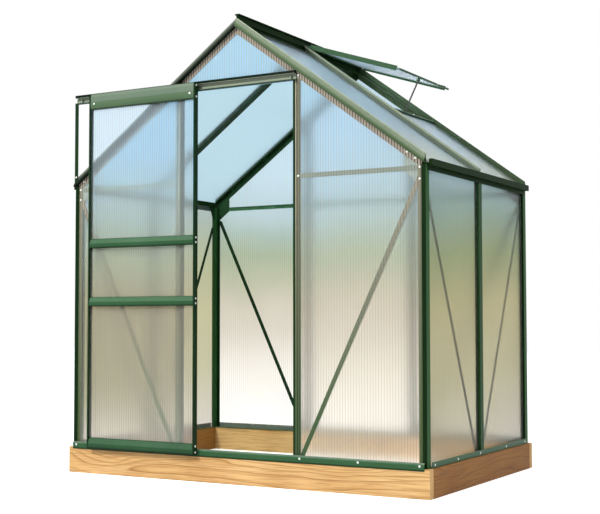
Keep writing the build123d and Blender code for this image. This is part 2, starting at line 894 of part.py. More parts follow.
def rail(low, high):
    """Door rail: a front plate that leans back above, with a flange along its top and its bottom."""
    with BuildSketch(Plane.YZ.offset(rail_left)) as section:
        folded_plate(
            (door_front, low),
            (door_front, low + (high - low) * rail_upright_share),
            (door_front + rail_lean, high),
        )
        rect(door_front, low, rail_back, low + skin)
        rect(door_front + rail_lean, high - skin, rail_back, high)
    extrude(section.sketch, amount=rail_right - rail_left)


groove = door_top - top_rail + top_rail_field
with BuildPart() as door_top_rail:
    with BuildSketch(Plane.YZ.offset(rail_left)):
        top_foot = door_top - top_rail
        folded_plate(
            (door_front + top_rail_tuck_in, top_foot),
            (door_front, top_foot + top_rail_tuck),
            (door_front, groove),
        )
        rect(door_front + top_rail_tuck_in, top_foot, rail_back, top_foot + skin)
        folded_plate(
            (door_front + rail_step, groove - skin),
            (door_front + rail_step, door_top - top_rail_brow),
            (door_front + top_rail_lean, door_top),
        )
        rect(door_front + top_rail_lean, door_top - skin, rail_back, door_top)
    extrude(amount=rail_right - rail_left)
finish(door_top_rail, "door_top_rail")

upper_rail = ground + upper_rail_height
lower_rail = ground + lower_rail_height
with BuildPart() as door_mid_rails:
    rail(upper_rail, upper_rail + mid_rail)
    rail(lower_rail, lower_rail + mid_rail)
finish(door_mid_rails, "door_mid_rails")

with BuildPart() as door_bottom_rail:
    rail(door_foot, door_foot + bottom_rail)
finish(door_bottom_rail, "door_bottom_rail")

# Door sheets, in the stiles' channels
door_sheet_front = door_front + door_sheet_set
door_sheet_left = door_left + stile_skin + sheet_gap
door_sheet_right = door_right - stile_skin - sheet_gap
door_bays = (
    (door_foot + bottom_rail, lower_rail),
    (lower_rail + mid_rail, upper_rail),
    (upper_rail + mid_rail, door_top - top_rail),
)
with BuildPart() as door_panels:
    for low, high in door_bays:
        box_between(
            (door_sheet_left, door_sheet_front, low + sheet_gap),
            (door_sheet_right, door_sheet_front + sheet, high - sheet_gap),
        )
finish(door_panels, "door_panels")

# Roller brackets behind the top rail, with their axles
bracket_front = door_front + rail_step + skin
roller_back = front_y - roller_set
roller_front = roller_back - roller_width
bolt_z = door_top - spacer_drop
with BuildPart() as door_hangers:
    for x in (roller_left_x, roller_right_x):
        box_between(
            (x - bracket_width / 2, bracket_front, roller_z - bracket_drop),
            (x + bracket_width / 2, bracket_front + skin, roller_z + bracket_rise),
        )
        with BuildSketch(Plane(origin=(x, door_front + skin, bolt_z), z_dir=(0, 1, 0))):
            Circle(spacer_radius)
        extrude(amount=rail_step)
        with BuildSketch(Plane(origin=(x, bracket_front, roller_z), z_dir=(0, 1, 0))):
            Circle(axle_radius)
        extrude(amount=roller_back + axle_play + collar_width - bracket_front)
        for y in (roller_front - axle_play - collar_width, roller_back + axle_play):
            with BuildSketch(Plane(origin=(x, y, roller_z), z_dir=(0, 1, 0))):
                Circle(collar_radius)
            extrude(amount=collar_width)
finish(door_hangers, "door_hangers")

for label, x in (("door_roller_left", roller_left_x), ("door_roller_right", roller_right_x)):
    with BuildPart() as door_roller:
        with BuildSketch(Plane(origin=(x, roller_front, roller_z), z_dir=(0, 1, 0))):
            Circle(roller_radius)
            Circle(axle_radius + axle_play, mode=Mode.SUBTRACT)
        extrude(amount=roller_width)
    finish(door_roller, label)

# Roof vent: a frame hung on the ridge bar's ledge, propped open by its stay
vent_tilt = slope - radians(vent_swing)
hinge_z = ground + peak_height - hinge_drop
vent_near = mid_y + cap_reach + vent_play
vent_far = back_y - web_back - vent_end_play
vent_mid = (vent_near + vent_far) / 2
vent_floor = vent_frame_rise - 2 * skin - sheet


def vent_point(along, out=0):
    """Point of the open vent: along it from its hinge line, and out from that line."""
    return (
        hinge_x + along * cos(vent_tilt) + out * sin(vent_tilt),
        hinge_z - along * sin(vent_tilt) + out * cos(vent_tilt),
    )


def vent_section(y, along=0, out=0):
    """Plane across the vent; its x runs along the vent from its hinge and its y outwards."""
    x, z = vent_point(along, out)
    return Plane(
        origin=(x, y, z),
        x_dir=(cos(vent_tilt), 0, -sin(vent_tilt)),
        z_dir=(0, -1, 0),
    )


with BuildPart() as vent_top_rail:
    with BuildSketch(vent_section(vent_near)):
        Circle(hinge_bead)
        rect(0, vent_floor, vent_stile_start, vent_floor + skin)
        rect(vent_lip_start, vent_floor, vent_lip_start + skin, vent_frame_rise)
        rect(vent_lip_start, vent_frame_rise - skin, vent_stile_start, vent_frame_rise)
    extrude(amount=vent_near - vent_far)
finish(vent_top_rail, "vent_top_rail")

with BuildPart() as vent_side_rails:
    with BuildSketch(vent_section(vent_near)):
        rect(vent_stile_start, -vent_rail_drop, vent_stile_end, vent_rail_rise)
    extrude(amount=-skin)
    with BuildSketch(vent_section(vent_near)):
        rect(vent_stile_start, vent_floor, vent_stile_end, vent_floor + skin)
        rect(vent_stile_start, vent_frame_rise - skin, vent_stile_end, vent_frame_rise)
    extrude(amount=-vent_lip)
    mirror(about=Plane.XZ.offset(-vent_mid))
finish(vent_side_rails, "vent_side_rails")

stay_near = vent_mid - stay_off - stay_width / 2
stay_far = stay_near + stay_width
with BuildPart() as vent_bottom_rail:
    with BuildSketch(vent_section(vent_near)):
        rect(vent_stile_end, vent_floor, vent_length, vent_floor + skin)
        rect(vent_stile_end, vent_frame_rise - skin, vent_length, vent_frame_rise)
        rect(vent_length - skin, vent_frame_rise - drip_lip, vent_length, vent_frame_rise)
    extrude(amount=vent_near - vent_far)
    for y in (stay_near - ear_gap - skin, stay_far + ear_gap):
        with BuildSketch(vent_section(y, stay_place, -stay_set)):
            Circle(stay_eye)
            rect(-stay_eye, 0, stay_eye, stay_set + vent_floor)
        extrude(amount=-skin)
    with BuildSketch(vent_section(stay_near - ear_gap - skin, stay_place, -stay_set)):
        Circle(stay_pin)
    extrude(amount=-(stay_width + 2 * ear_gap + 2 * skin))
finish(vent_bottom_rail, "vent_bottom_rail")

with BuildPart() as vent_panel:
    with BuildSketch(vent_section(vent_near + skin + sheet_gap)):
        rect(
            vent_lip_start + skin + sheet_gap,
            vent_floor + skin,
            vent_stile_end + vent_lip,
            vent_frame_rise - skin,
        )
    extrude(amount=vent_near - vent_far + 2 * (skin + sheet_gap))
finish(vent_panel, "vent_panel")

stay_x, stay_z = vent_point(stay_place, -stay_set)
stay_end = down_slope(vent_sill_place - stay_foot_gap - stay_thickness / 2)
stay_run = stay_end[0] - stay_x
stay_fall = stay_end[2] - stay_z
stay_length = hypot(stay_run, stay_fall)
with BuildPart() as vent_stay:
    with BuildSketch(
        Plane(
            origin=(stay_x, stay_near, stay_z),
            x_dir=(stay_run, 0, stay_fall),
            z_dir=(0, -1, 0),
        )
    ):
        Circle(stay_eye)
        rect(0, -stay_thickness / 2, stay_length, stay_thickness / 2)
        Circle(stay_pin + stay_pin_play, mode=Mode.SUBTRACT)
    extrude(amount=-stay_width)
finish(vent_stay, "vent_stay")

with BuildPart() as vent_peg:
    peg_base = down_slope(vent_sill_place + vent_sill_lip / 2, vent_sill_rise)
    with BuildSketch(
        Plane(
            origin=(peg_base[0], vent_mid + peg_off, peg_base[2]),
            x_dir=(0, 1, 0),
            z_dir=(down, 0, up),
        )
    ):
        Circle(peg_radius)
    extrude(amount=peg_height)
finish(vent_peg, "vent_peg")

# Bolt heads, each flat on what it holds
def bolt(x, y, z, facing):
    """Bolt head on a surface, joined to the part under way."""
    with Locations(Plane(origin=(x, y, z), z_dir=facing)):
        Cone(
            bolt_radius,
            bolt_radius * bolt_top_share,
            bolt_height,
            align=(Align.CENTER, Align.CENTER, Align.MIN),
        )


sill_bolt_z = ground + sill_bolt
rafter_bolt_out = barge_floor - rafter_bolt_drop
with BuildPart() as frame_bolts:
    for y, facing in (
        (front_y + sheet_front, (0, -1, 0)),
        (back_y - sheet_front, (0, 1, 0)),
    ):
        bolt(post_in - corner_bolt_in, y, post_top - corner_bolt_set, facing)
        bolt(post_in - corner_bolt_in, y, post_top - corner_bolt_drop, facing)
        for inset in (corner_bolt_mid, corner_bolt_out):
            x = post_in - inset
            bolt(x, y, slope_height(x, rafter_bolt_out), facing)
    for place_share in front_bolt_shares:
        bolt(post_in * place_share, front_y + sill_front, sill_bolt_z, (0, -1, 0))
        bolt(post_in * place_share, back_y - sill_front, sill_bolt_z, (0, 1, 0))
    for place_share in side_bolt_shares:
        bolt(
            half_width + side_sill_stand,
            mid_y + post_back * place_share,
            sill_bolt_z,
            (1, 0, 0),
        )
    jamb_mid = (jamb_in + jamb_out) / 2
    bolt(jamb_mid, front_y, ground + jamb_bolt_foot, (0, -1, 0))
    beside_jamb = jamb_out + jamb_bolt_out
    track_mid = (track_low + track_top) / 2
    bolt(beside_jamb, front_y + sheet_front, tie_low + tie_width / 2, (0, -1, 0))
    mirror(about=side_fold)
    bolt(beside_jamb, front_y + sheet_front, track_mid, (0, -1, 0))
    bolt(-jamb_mid, front_y - track_skin, track_mid, (0, -1, 0))
    bolt(
        -track_left + hanger_width / 2,
        hanger_face,
        slope_height(track_left - hanger_width / 2) + hanger_bolt_rise,
        (0, -1, 0),
    )
finish(frame_bolts, "frame_bolts")

door_bolt_y = door_front + door_bolt_set
with BuildPart() as door_bolts:
    for low, high in (
        (door_foot, door_foot + bottom_rail),
        (lower_rail, lower_rail + mid_rail),
        (upper_rail, upper_rail + mid_rail),
        (door_top - top_rail, door_top),
    ):
        bolt(door_right, door_bolt_y, low + door_bolt_in, (1, 0, 0))
        bolt(door_right, door_bolt_y, high - door_bolt_in, (1, 0, 0))
    mirror(about=Plane.YZ.offset((door_left + door_right) / 2))
    for x in (roller_left_x, roller_right_x):
        bolt(x, door_front, bolt_z, (0, -1, 0))
finish(door_bolts, "door_bolts")
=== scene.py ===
"""Small gabled greenhouse on a timber plinth: its finishes, its dressed pieces, camera and light.

Metres, +Z up, +X to the right seen from the door, +Y towards the back wall.
"""

import math

import bmesh
import bpy
from mathutils import Matrix, Vector


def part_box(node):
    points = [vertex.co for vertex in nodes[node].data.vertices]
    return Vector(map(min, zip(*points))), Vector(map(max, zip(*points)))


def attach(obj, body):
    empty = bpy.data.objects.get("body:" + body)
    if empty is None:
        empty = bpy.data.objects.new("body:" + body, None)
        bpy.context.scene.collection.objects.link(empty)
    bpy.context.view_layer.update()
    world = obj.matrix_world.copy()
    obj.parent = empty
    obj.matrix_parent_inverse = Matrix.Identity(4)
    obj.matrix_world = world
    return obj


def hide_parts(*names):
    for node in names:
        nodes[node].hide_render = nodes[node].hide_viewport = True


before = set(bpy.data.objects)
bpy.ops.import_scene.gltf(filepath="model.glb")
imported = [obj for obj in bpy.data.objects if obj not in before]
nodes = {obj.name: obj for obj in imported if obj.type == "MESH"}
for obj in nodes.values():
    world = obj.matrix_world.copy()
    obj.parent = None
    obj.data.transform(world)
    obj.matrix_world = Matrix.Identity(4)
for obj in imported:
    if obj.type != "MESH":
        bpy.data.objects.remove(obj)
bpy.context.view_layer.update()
scene = bpy.context.scene


# ---- Small helpers ----
def drop_selection():
    """Leave nothing selected, so that an operator acts on the new piece alone."""
    for thing in bpy.context.selected_objects:
        thing.select_set(False)


def active():
    """The piece that the last operator made."""
    return bpy.context.view_layer.objects.active


def settle(piece):
    """Put the piece's place, turn and size into its mesh."""
    drop_selection()
    piece.select_set(True)
    bpy.context.view_layer.objects.active = piece
    bpy.ops.object.transform_apply(location=True, rotation=True, scale=True)


def apply_modifiers(piece):
    """Apply the piece's modifiers in order."""
    drop_selection()
    piece.select_set(True)
    bpy.context.view_layer.objects.active = piece
    for modifier in list(piece.modifiers):
        bpy.ops.object.modifier_apply(modifier=modifier.name)


def dress(piece, material, body):
    """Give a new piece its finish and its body."""
    piece.data.materials.clear()
    piece.data.materials.append(material)
    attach(piece, body)


def paint(names, material):
    """Give these CAD pieces one finish."""
    for name in names:
        for place in nodes[name].material_slots:
            place.material = material


# ---- Finishes ----
RIB_PITCH = 0.0134
ROOF_FALL = 0.7326


def new_material(name):
    """Empty node material; returns it with its shader, its links and a node maker."""
    material = bpy.data.materials.new(name)
    material.use_nodes = True
    tree = material.node_tree
    shader = tree.nodes["Principled BSDF"]

    def add(kind, **values):
        node = tree.nodes.new(kind)
        for key, value in values.items():
            setattr(node, key, value)
        return node

    return material, shader, tree.links, add


def stops(ramp, *points):
    """Set a colour ramp's stops, each a place and a colour."""
    elements = ramp.color_ramp.elements
    while len(elements) > len(points):
        elements.remove(elements[-1])
    while len(elements) < len(points):
        elements.new(0.5)
    for element, (place, colour) in zip(elements, points):
        element.position = place
        element.color = (*colour, 1.0) if len(colour) == 3 else colour


def powder_coat(
    name, dark, light, roughness, gloss, dust_and_sheen, side_light=None, bands=None, bead=None, nose=None, sheet_light_lift=1.0, run="Z",
    shine=0.5,
):
    """Satin powder coat: fine orange-peel bump, a slow drift of colour, paler on upward faces, which are dusted
    and also carry a painted sky highlight.

    Front faces straight behind a front sheet get a painted look of the bar seen through the lit sheet, tan and
    lighter higher up, beaded with the ribs' painted light and shade where the bar runs across the ribs. Faces
    turned left or right may be painted lighter as if lit from that side, and bands of painted shade and highlight
    may run along a rail, each a height and a tint. A bar with a nose gets that painted look in front past that
    nose, whose two edges are distances from the middle. A lift factor lightens the painted look.
    Bands run up the height, along another axis, or square to the roof's slope.
    """
    material, shader, links, add = new_material(name)
    shader.inputs["Specular IOR Level"].default_value = shine
    place = add("ShaderNodeTexCoord")
    drift = add("ShaderNodeTexNoise")
    drift.inputs["Scale"].default_value = 2.4
    drift.inputs["Detail"].default_value = 5.0
    ramp = add("ShaderNodeValToRGB")
    stops(ramp, (0.35, dark), (0.7, light))
    links.new(place.outputs["Object"], drift.inputs["Vector"])
    links.new(drift.outputs["Fac"], ramp.inputs["Fac"])
    facing = add("ShaderNodeNewGeometry")
    upward = add("ShaderNodeSeparateXYZ")
    links.new(facing.outputs["Normal"], upward.inputs["Vector"])
    # Upward faces grow lighter and more sage: they are dusted, and this also stands in for a painted sky highlight.
    upward_dust_and_sheen = add("ShaderNodeMapRange")
    upward_dust_and_sheen.inputs["From Min"].default_value = 0.05
    upward_dust_and_sheen.inputs["From Max"].default_value = 0.95
    upward_dust_and_sheen.inputs["To Max"].default_value = dust_and_sheen
    links.new(upward.outputs["Z"], upward_dust_and_sheen.inputs["Value"])
    sheen_and_dust_noise = add("ShaderNodeTexNoise")
    sheen_and_dust_noise.inputs["Scale"].default_value = 60.0
    sheen_and_dust_noise.inputs["Detail"].default_value = 4.0
    links.new(place.outputs["Object"], sheen_and_dust_noise.inputs["Vector"])
    patchy = add("ShaderNodeMath", operation="MULTIPLY")
    links.new(upward_dust_and_sheen.outputs["Result"], patchy.inputs[0])
    links.new(sheen_and_dust_noise.outputs["Fac"], patchy.inputs[1])
    dusted_and_sheened = add("ShaderNodeMix", data_type="RGBA")
    links.new(patchy.outputs["Value"], dusted_and_sheened.inputs["Factor"])
    links.new(ramp.outputs["Color"], dusted_and_sheened.inputs[6])
    dusted_and_sheened.inputs[7].default_value = (0.42, 0.44, 0.34, 1.0)
    coat = dusted_and_sheened.outputs[2]
    # Faces turned left or right are painted lighter, as if lit from that side.
    if side_light:
        turned = add("ShaderNodeMath", operation="ABSOLUTE")
        links.new(upward.outputs["X"], turned.inputs[0])
        side_lit = add("ShaderNodeMix", data_type="RGBA")
        side_lit.inputs[7].default_value = (*side_light, 1.0)
        links.new(turned.outputs["Value"], side_lit.inputs["Factor"])
        links.new(coat, side_lit.inputs[6])
        coat = side_lit.outputs[2]
    where = add("ShaderNodeSeparateXYZ")
    links.new(place.outputs["Object"], where.inputs["Vector"])
    # Bands along the bar multiply its colour: painted shade and painted highlight.
    if bands:
        foot, top = bands[0][0], bands[-1][0]
        rise = add("ShaderNodeMapRange")
        rise.inputs["From Min"].default_value = foot
        rise.inputs["From Max"].default_value = top
        if run == "slope":
            aside = add("ShaderNodeMath", operation="ABSOLUTE")
            links.new(where.outputs["X"], aside.inputs[0])
            level = add("ShaderNodeMath", operation="MULTIPLY_ADD")
            level.inputs[1].default_value = ROOF_FALL
            links.new(aside.outputs["Value"], level.inputs[0])
            links.new(where.outputs["Z"], level.inputs[2])
            links.new(level.outputs["Value"], rise.inputs["Value"])
        else:
            links.new(where.outputs[run], rise.inputs["Value"])
        shade = add("ShaderNodeValToRGB")
        stops(shade, *(((height - foot) / (top - foot), tint) for height, tint in bands))
        links.new(rise.outputs["Result"], shade.inputs["Fac"])
        banded = add("ShaderNodeMix", data_type="RGBA", blend_type="MULTIPLY")
        banded.inputs["Factor"].default_value = 1.0
        links.new(coat, banded.inputs[6])
        links.new(shade.outputs["Color"], banded.inputs[7])
        coat = banded.outputs[2]
    # Front faces straight behind a front sheet get the painted look of the bar through the lit sheet.
    behind = add("ShaderNodeMath", operation="COMPARE")
    behind.inputs[1].default_value = -0.6010
    behind.inputs[2].default_value = 0.0034
    links.new(where.outputs["Y"], behind.inputs[0])
    frontal = add("ShaderNodeMath", operation="LESS_THAN")
    frontal.inputs[1].default_value = -0.9
    links.new(upward.outputs["Y"], frontal.inputs[0])
    covered = add("ShaderNodeMath", operation="MULTIPLY")
    links.new(behind.outputs["Value"], covered.inputs[0])
    links.new(frontal.outputs["Value"], covered.inputs[1])
    covering = covered.outputs["Value"]
    if nose:
        from_middle = add("ShaderNodeMath", operation="ABSOLUTE")
        links.new(where.outputs["X"], from_middle.inputs[0])
        on_nose = add("ShaderNodeMath", operation="COMPARE")
        on_nose.inputs[1].default_value = (nose[0] + nose[1]) / 2
        on_nose.inputs[2].default_value = (nose[1] - nose[0]) / 2
        links.new(from_middle.outputs["Value"], on_nose.inputs[0])
        past_nose = add("ShaderNodeMath", operation="SUBTRACT")
        past_nose.inputs[0].default_value = 1.0
        links.new(on_nose.outputs["Value"], past_nose.inputs[1])
        beside = add("ShaderNodeMath", operation="MULTIPLY")
        links.new(past_nose.outputs["Value"], beside.inputs[0])
        links.new(frontal.outputs["Value"], beside.inputs[1])
        front_wall = add("ShaderNodeMath", operation="LESS_THAN")
        front_wall.inputs[1].default_value = -0.5
        links.new(where.outputs["Y"], front_wall.inputs[0])
        beside_front = add("ShaderNodeMath", operation="MULTIPLY")
        links.new(beside.outputs["Value"], beside_front.inputs[0])
        links.new(front_wall.outputs["Value"], beside_front.inputs[1])
        covering = beside_front.outputs["Value"]
    # That painted light runs from dark green low down to tan high up, scaled by the lift factor.
    through_sheet_look = add("ShaderNodeMix", data_type="RGBA")
    higher = add("ShaderNodeMapRange")
    higher.inputs["From Min"].default_value = 0.30
    higher.inputs["From Max"].default_value = 1.30
    links.new(where.outputs["Z"], higher.inputs["Value"])
    lit_through_sheet = add("ShaderNodeValToRGB")
    through_sheet_light = ((0.0, (0.075, 0.115, 0.052)), (0.55, (0.17, 0.17, 0.11)), (1.0, (0.30, 0.27, 0.20)))
    stops(lit_through_sheet, *((spot, [sheet_light_lift * tone for tone in colour]) for spot, colour in through_sheet_light))
    links.new(higher.outputs["Result"], lit_through_sheet.inputs["Fac"])
    links.new(lit_through_sheet.outputs["Color"], through_sheet_look.inputs[7])
    # Where the bar runs across the ribs, the look is beaded with their painted light and shade.
    if bead:
        turns = add("ShaderNodeMath", operation="MULTIPLY")
        turns.inputs[1].default_value = 2 * math.pi / RIB_PITCH
        links.new(where.outputs["X"], turns.inputs[0])
        wave = add("ShaderNodeMath", operation="COSINE")
        links.new(turns.outputs["Value"], wave.inputs[0])
        between = add("ShaderNodeMapRange")
        between.inputs["From Min"].default_value = -0.4
        between.inputs["From Max"].default_value = 0.4
        links.new(wave.outputs["Value"], between.inputs["Value"])
        beaded = add("ShaderNodeMix", data_type="RGBA")
        beaded.inputs[6].default_value = (*bead, 1.0)
        beaded.inputs[7].default_value = (0.42, 0.33, 0.25, 1.0)
        links.new(between.outputs["Result"], beaded.inputs["Factor"])
        links.new(beaded.outputs[2], through_sheet_look.inputs[7])
    links.new(covering, through_sheet_look.inputs["Factor"])
    links.new(coat, through_sheet_look.inputs[6])
    links.new(through_sheet_look.outputs[2], shader.inputs["Base Color"])
    peel = add("ShaderNodeTexNoise")
    peel.inputs["Scale"].default_value = 900.0
    peel.inputs["Detail"].default_value = 2.0
    bump = add("ShaderNodeBump")
    bump.inputs["Strength"].default_value = 0.12
    bump.inputs["Distance"].default_value = 0.0004
    links.new(place.outputs["Object"], peel.inputs["Vector"])
    links.new(peel.outputs["Fac"], bump.inputs["Height"])
    links.new(bump.outputs["Normal"], shader.inputs["Normal"])
    rough = add("ShaderNodeMapRange")
    rough.inputs["To Min"].default_value = roughness - 0.06
    rough.inputs["To Max"].default_value = roughness + 0.1
    links.new(drift.outputs["Fac"], rough.inputs["Value"])
    links.new(rough.outputs["Result"], shader.inputs["Roughness"])
    shader.inputs["Specular IOR Level"].default_value = gloss
    return material


def twin_wall(name, across, pitch, heights, clear, rib_milk, clamps=(), middle=0.0):
    """Clear twin-wall sheet: milky ribs across one direction, see-through between them, tinted by height with
    painted light, a blue sky reflection high up and olive and beige lower down.

    A clamp is a straight strip where the sheet lies on a bar and is painted with the bar's look through it,
    its painted light and shade, striped by the ribs: shares of the distance from the middle and of the height,
    the strip's two edges in their sum, then the tone on a rib low down, between ribs low down, on a rib high
    up and between ribs high up.
    """
    material, shader, links, add = new_material(name)
    place = add("ShaderNodeTexCoord")
    parts = add("ShaderNodeSeparateXYZ")
    links.new(place.outputs["Object"], parts.inputs["Vector"])
    level = add("ShaderNodeMapRange")
    level.inputs["From Min"].default_value = 0.12
    level.inputs["From Max"].default_value = 2.12
    links.new(parts.outputs["Z"], level.inputs["Value"])
    blotch = add("ShaderNodeTexNoise")
    blotch.inputs["Scale"].default_value = 1.6
    blotch.inputs["Detail"].default_value = 3.0
    links.new(place.outputs["Object"], blotch.inputs["Vector"])
    sway = add("ShaderNodeMath", operation="MULTIPLY_ADD")
    sway.inputs[1].default_value = 0.16
    sway.inputs[2].default_value = -0.08
    links.new(blotch.outputs["Fac"], sway.inputs[0])
    uneven = add("ShaderNodeMath", operation="ADD")
    links.new(level.outputs["Result"], uneven.inputs[0])
    links.new(sway.outputs["Value"], uneven.inputs[1])
    # The tint by height is painted light: a sky reflection high up, olive and beige lower down.
    tint = add("ShaderNodeValToRGB")
    stops(tint, *heights)
    links.new(uneven.outputs["Value"], tint.inputs["Fac"])
    turns = add("ShaderNodeMath", operation="MULTIPLY")
    turns.inputs[1].default_value = 2 * math.pi / pitch
    links.new(parts.outputs[across], turns.inputs[0])
    wave = add("ShaderNodeMath", operation="COSINE")
    links.new(turns.outputs["Value"], wave.inputs[0])
    rib = add("ShaderNodeMapRange")
    rib.inputs["From Min"].default_value = 0.35
    rib.inputs["From Max"].default_value = 0.75
    links.new(wave.outputs["Value"], rib.inputs["Value"])
    milky = add("ShaderNodeMix", data_type="RGBA")
    links.new(rib.outputs["Result"], milky.inputs["Factor"])
    links.new(tint.outputs["Color"], milky.inputs[6])
    milky.inputs[7].default_value = (0.62, 0.60, 0.57, 1.0)
    through = add("ShaderNodeMath", operation="MULTIPLY_ADD")
    through.inputs[1].default_value = -rib_milk
    through.inputs[2].default_value = clear
    links.new(rib.outputs["Result"], through.inputs[0])
    colour, letting_through = milky.outputs[2], through.outputs["Value"]
    off_middle = add("ShaderNodeMath", operation="SUBTRACT")
    off_middle.inputs[1].default_value = middle
    links.new(parts.outputs[across], off_middle.inputs[0])
    aside = add("ShaderNodeMath", operation="ABSOLUTE")
    links.new(off_middle.outputs["Value"], aside.inputs[0])
    for out_share, up_share, low, high, *tones in clamps:
        sideways = add("ShaderNodeMath", operation="MULTIPLY")
        sideways.inputs[1].default_value = out_share
        links.new(aside.outputs["Value"], sideways.inputs[0])
        spot = add("ShaderNodeMath", operation="MULTIPLY_ADD")
        spot.inputs[1].default_value = up_share
        links.new(parts.outputs["Z"], spot.inputs[0])
        links.new(sideways.outputs["Value"], spot.inputs[2])
        held = add("ShaderNodeMath", operation="COMPARE")
        held.inputs[1].default_value = (low + high) / 2
        held.inputs[2].default_value = (high - low) / 2
        links.new(spot.outputs["Value"], held.inputs[0])
        # The strip's painted light goes from its low tones to its high tones as it climbs from 0.3 m to 1.3 m.
        climb = add("ShaderNodeMapRange")
        climb.inputs["From Min"].default_value = 0.30
        climb.inputs["From Max"].default_value = 1.30
        links.new(parts.outputs["Z"], climb.inputs["Value"])
        pair = []
        for first, second in ((tones[0], tones[1]), (tones[2], tones[3])):
            striped = add("ShaderNodeMix", data_type="RGBA")
            links.new(rib.outputs["Result"], striped.inputs["Factor"])
            striped.inputs[6].default_value = (*second, 1.0)
            striped.inputs[7].default_value = (*first, 1.0)
            pair.append(striped.outputs[2])
        by_height = add("ShaderNodeMix", data_type="RGBA")
        links.new(climb.outputs["Result"], by_height.inputs["Factor"])
        links.new(pair[0], by_height.inputs[6])
        links.new(pair[1], by_height.inputs[7])
        over = add("ShaderNodeMix", data_type="RGBA")
        links.new(held.outputs["Value"], over.inputs["Factor"])
        links.new(colour, over.inputs[6])
        links.new(by_height.outputs[2], over.inputs[7])
        shut = add("ShaderNodeMix", data_type="FLOAT")
        links.new(held.outputs["Value"], shut.inputs["Factor"])
        links.new(letting_through, shut.inputs[2])
        shut.inputs[3].default_value = 0.1
        colour, letting_through = over.outputs[2], shut.outputs[0]
    links.new(colour, shader.inputs["Base Color"])
    links.new(letting_through, shader.inputs["Transmission Weight"])
    shader.inputs["Roughness"].default_value = 0.29
    shader.inputs["IOR"].default_value = 1.13
    shader.inputs["Specular IOR Level"].default_value = 0.35
    lamplight = add("ShaderNodeBsdfTransparent")
    lamplight.inputs["Color"].default_value = (0.84, 0.88, 0.88, 1.0)
    path = add("ShaderNodeLightPath")
    either = add("ShaderNodeMixShader")
    output = material.node_tree.nodes["Material Output"]
    links.new(path.outputs["Is Shadow Ray"], either.inputs["Fac"])
    links.new(shader.outputs["BSDF"], either.inputs[1])
    links.new(lamplight.outputs["BSDF"], either.inputs[2])
    links.new(either.outputs["Shader"], output.inputs["Surface"])
    return material


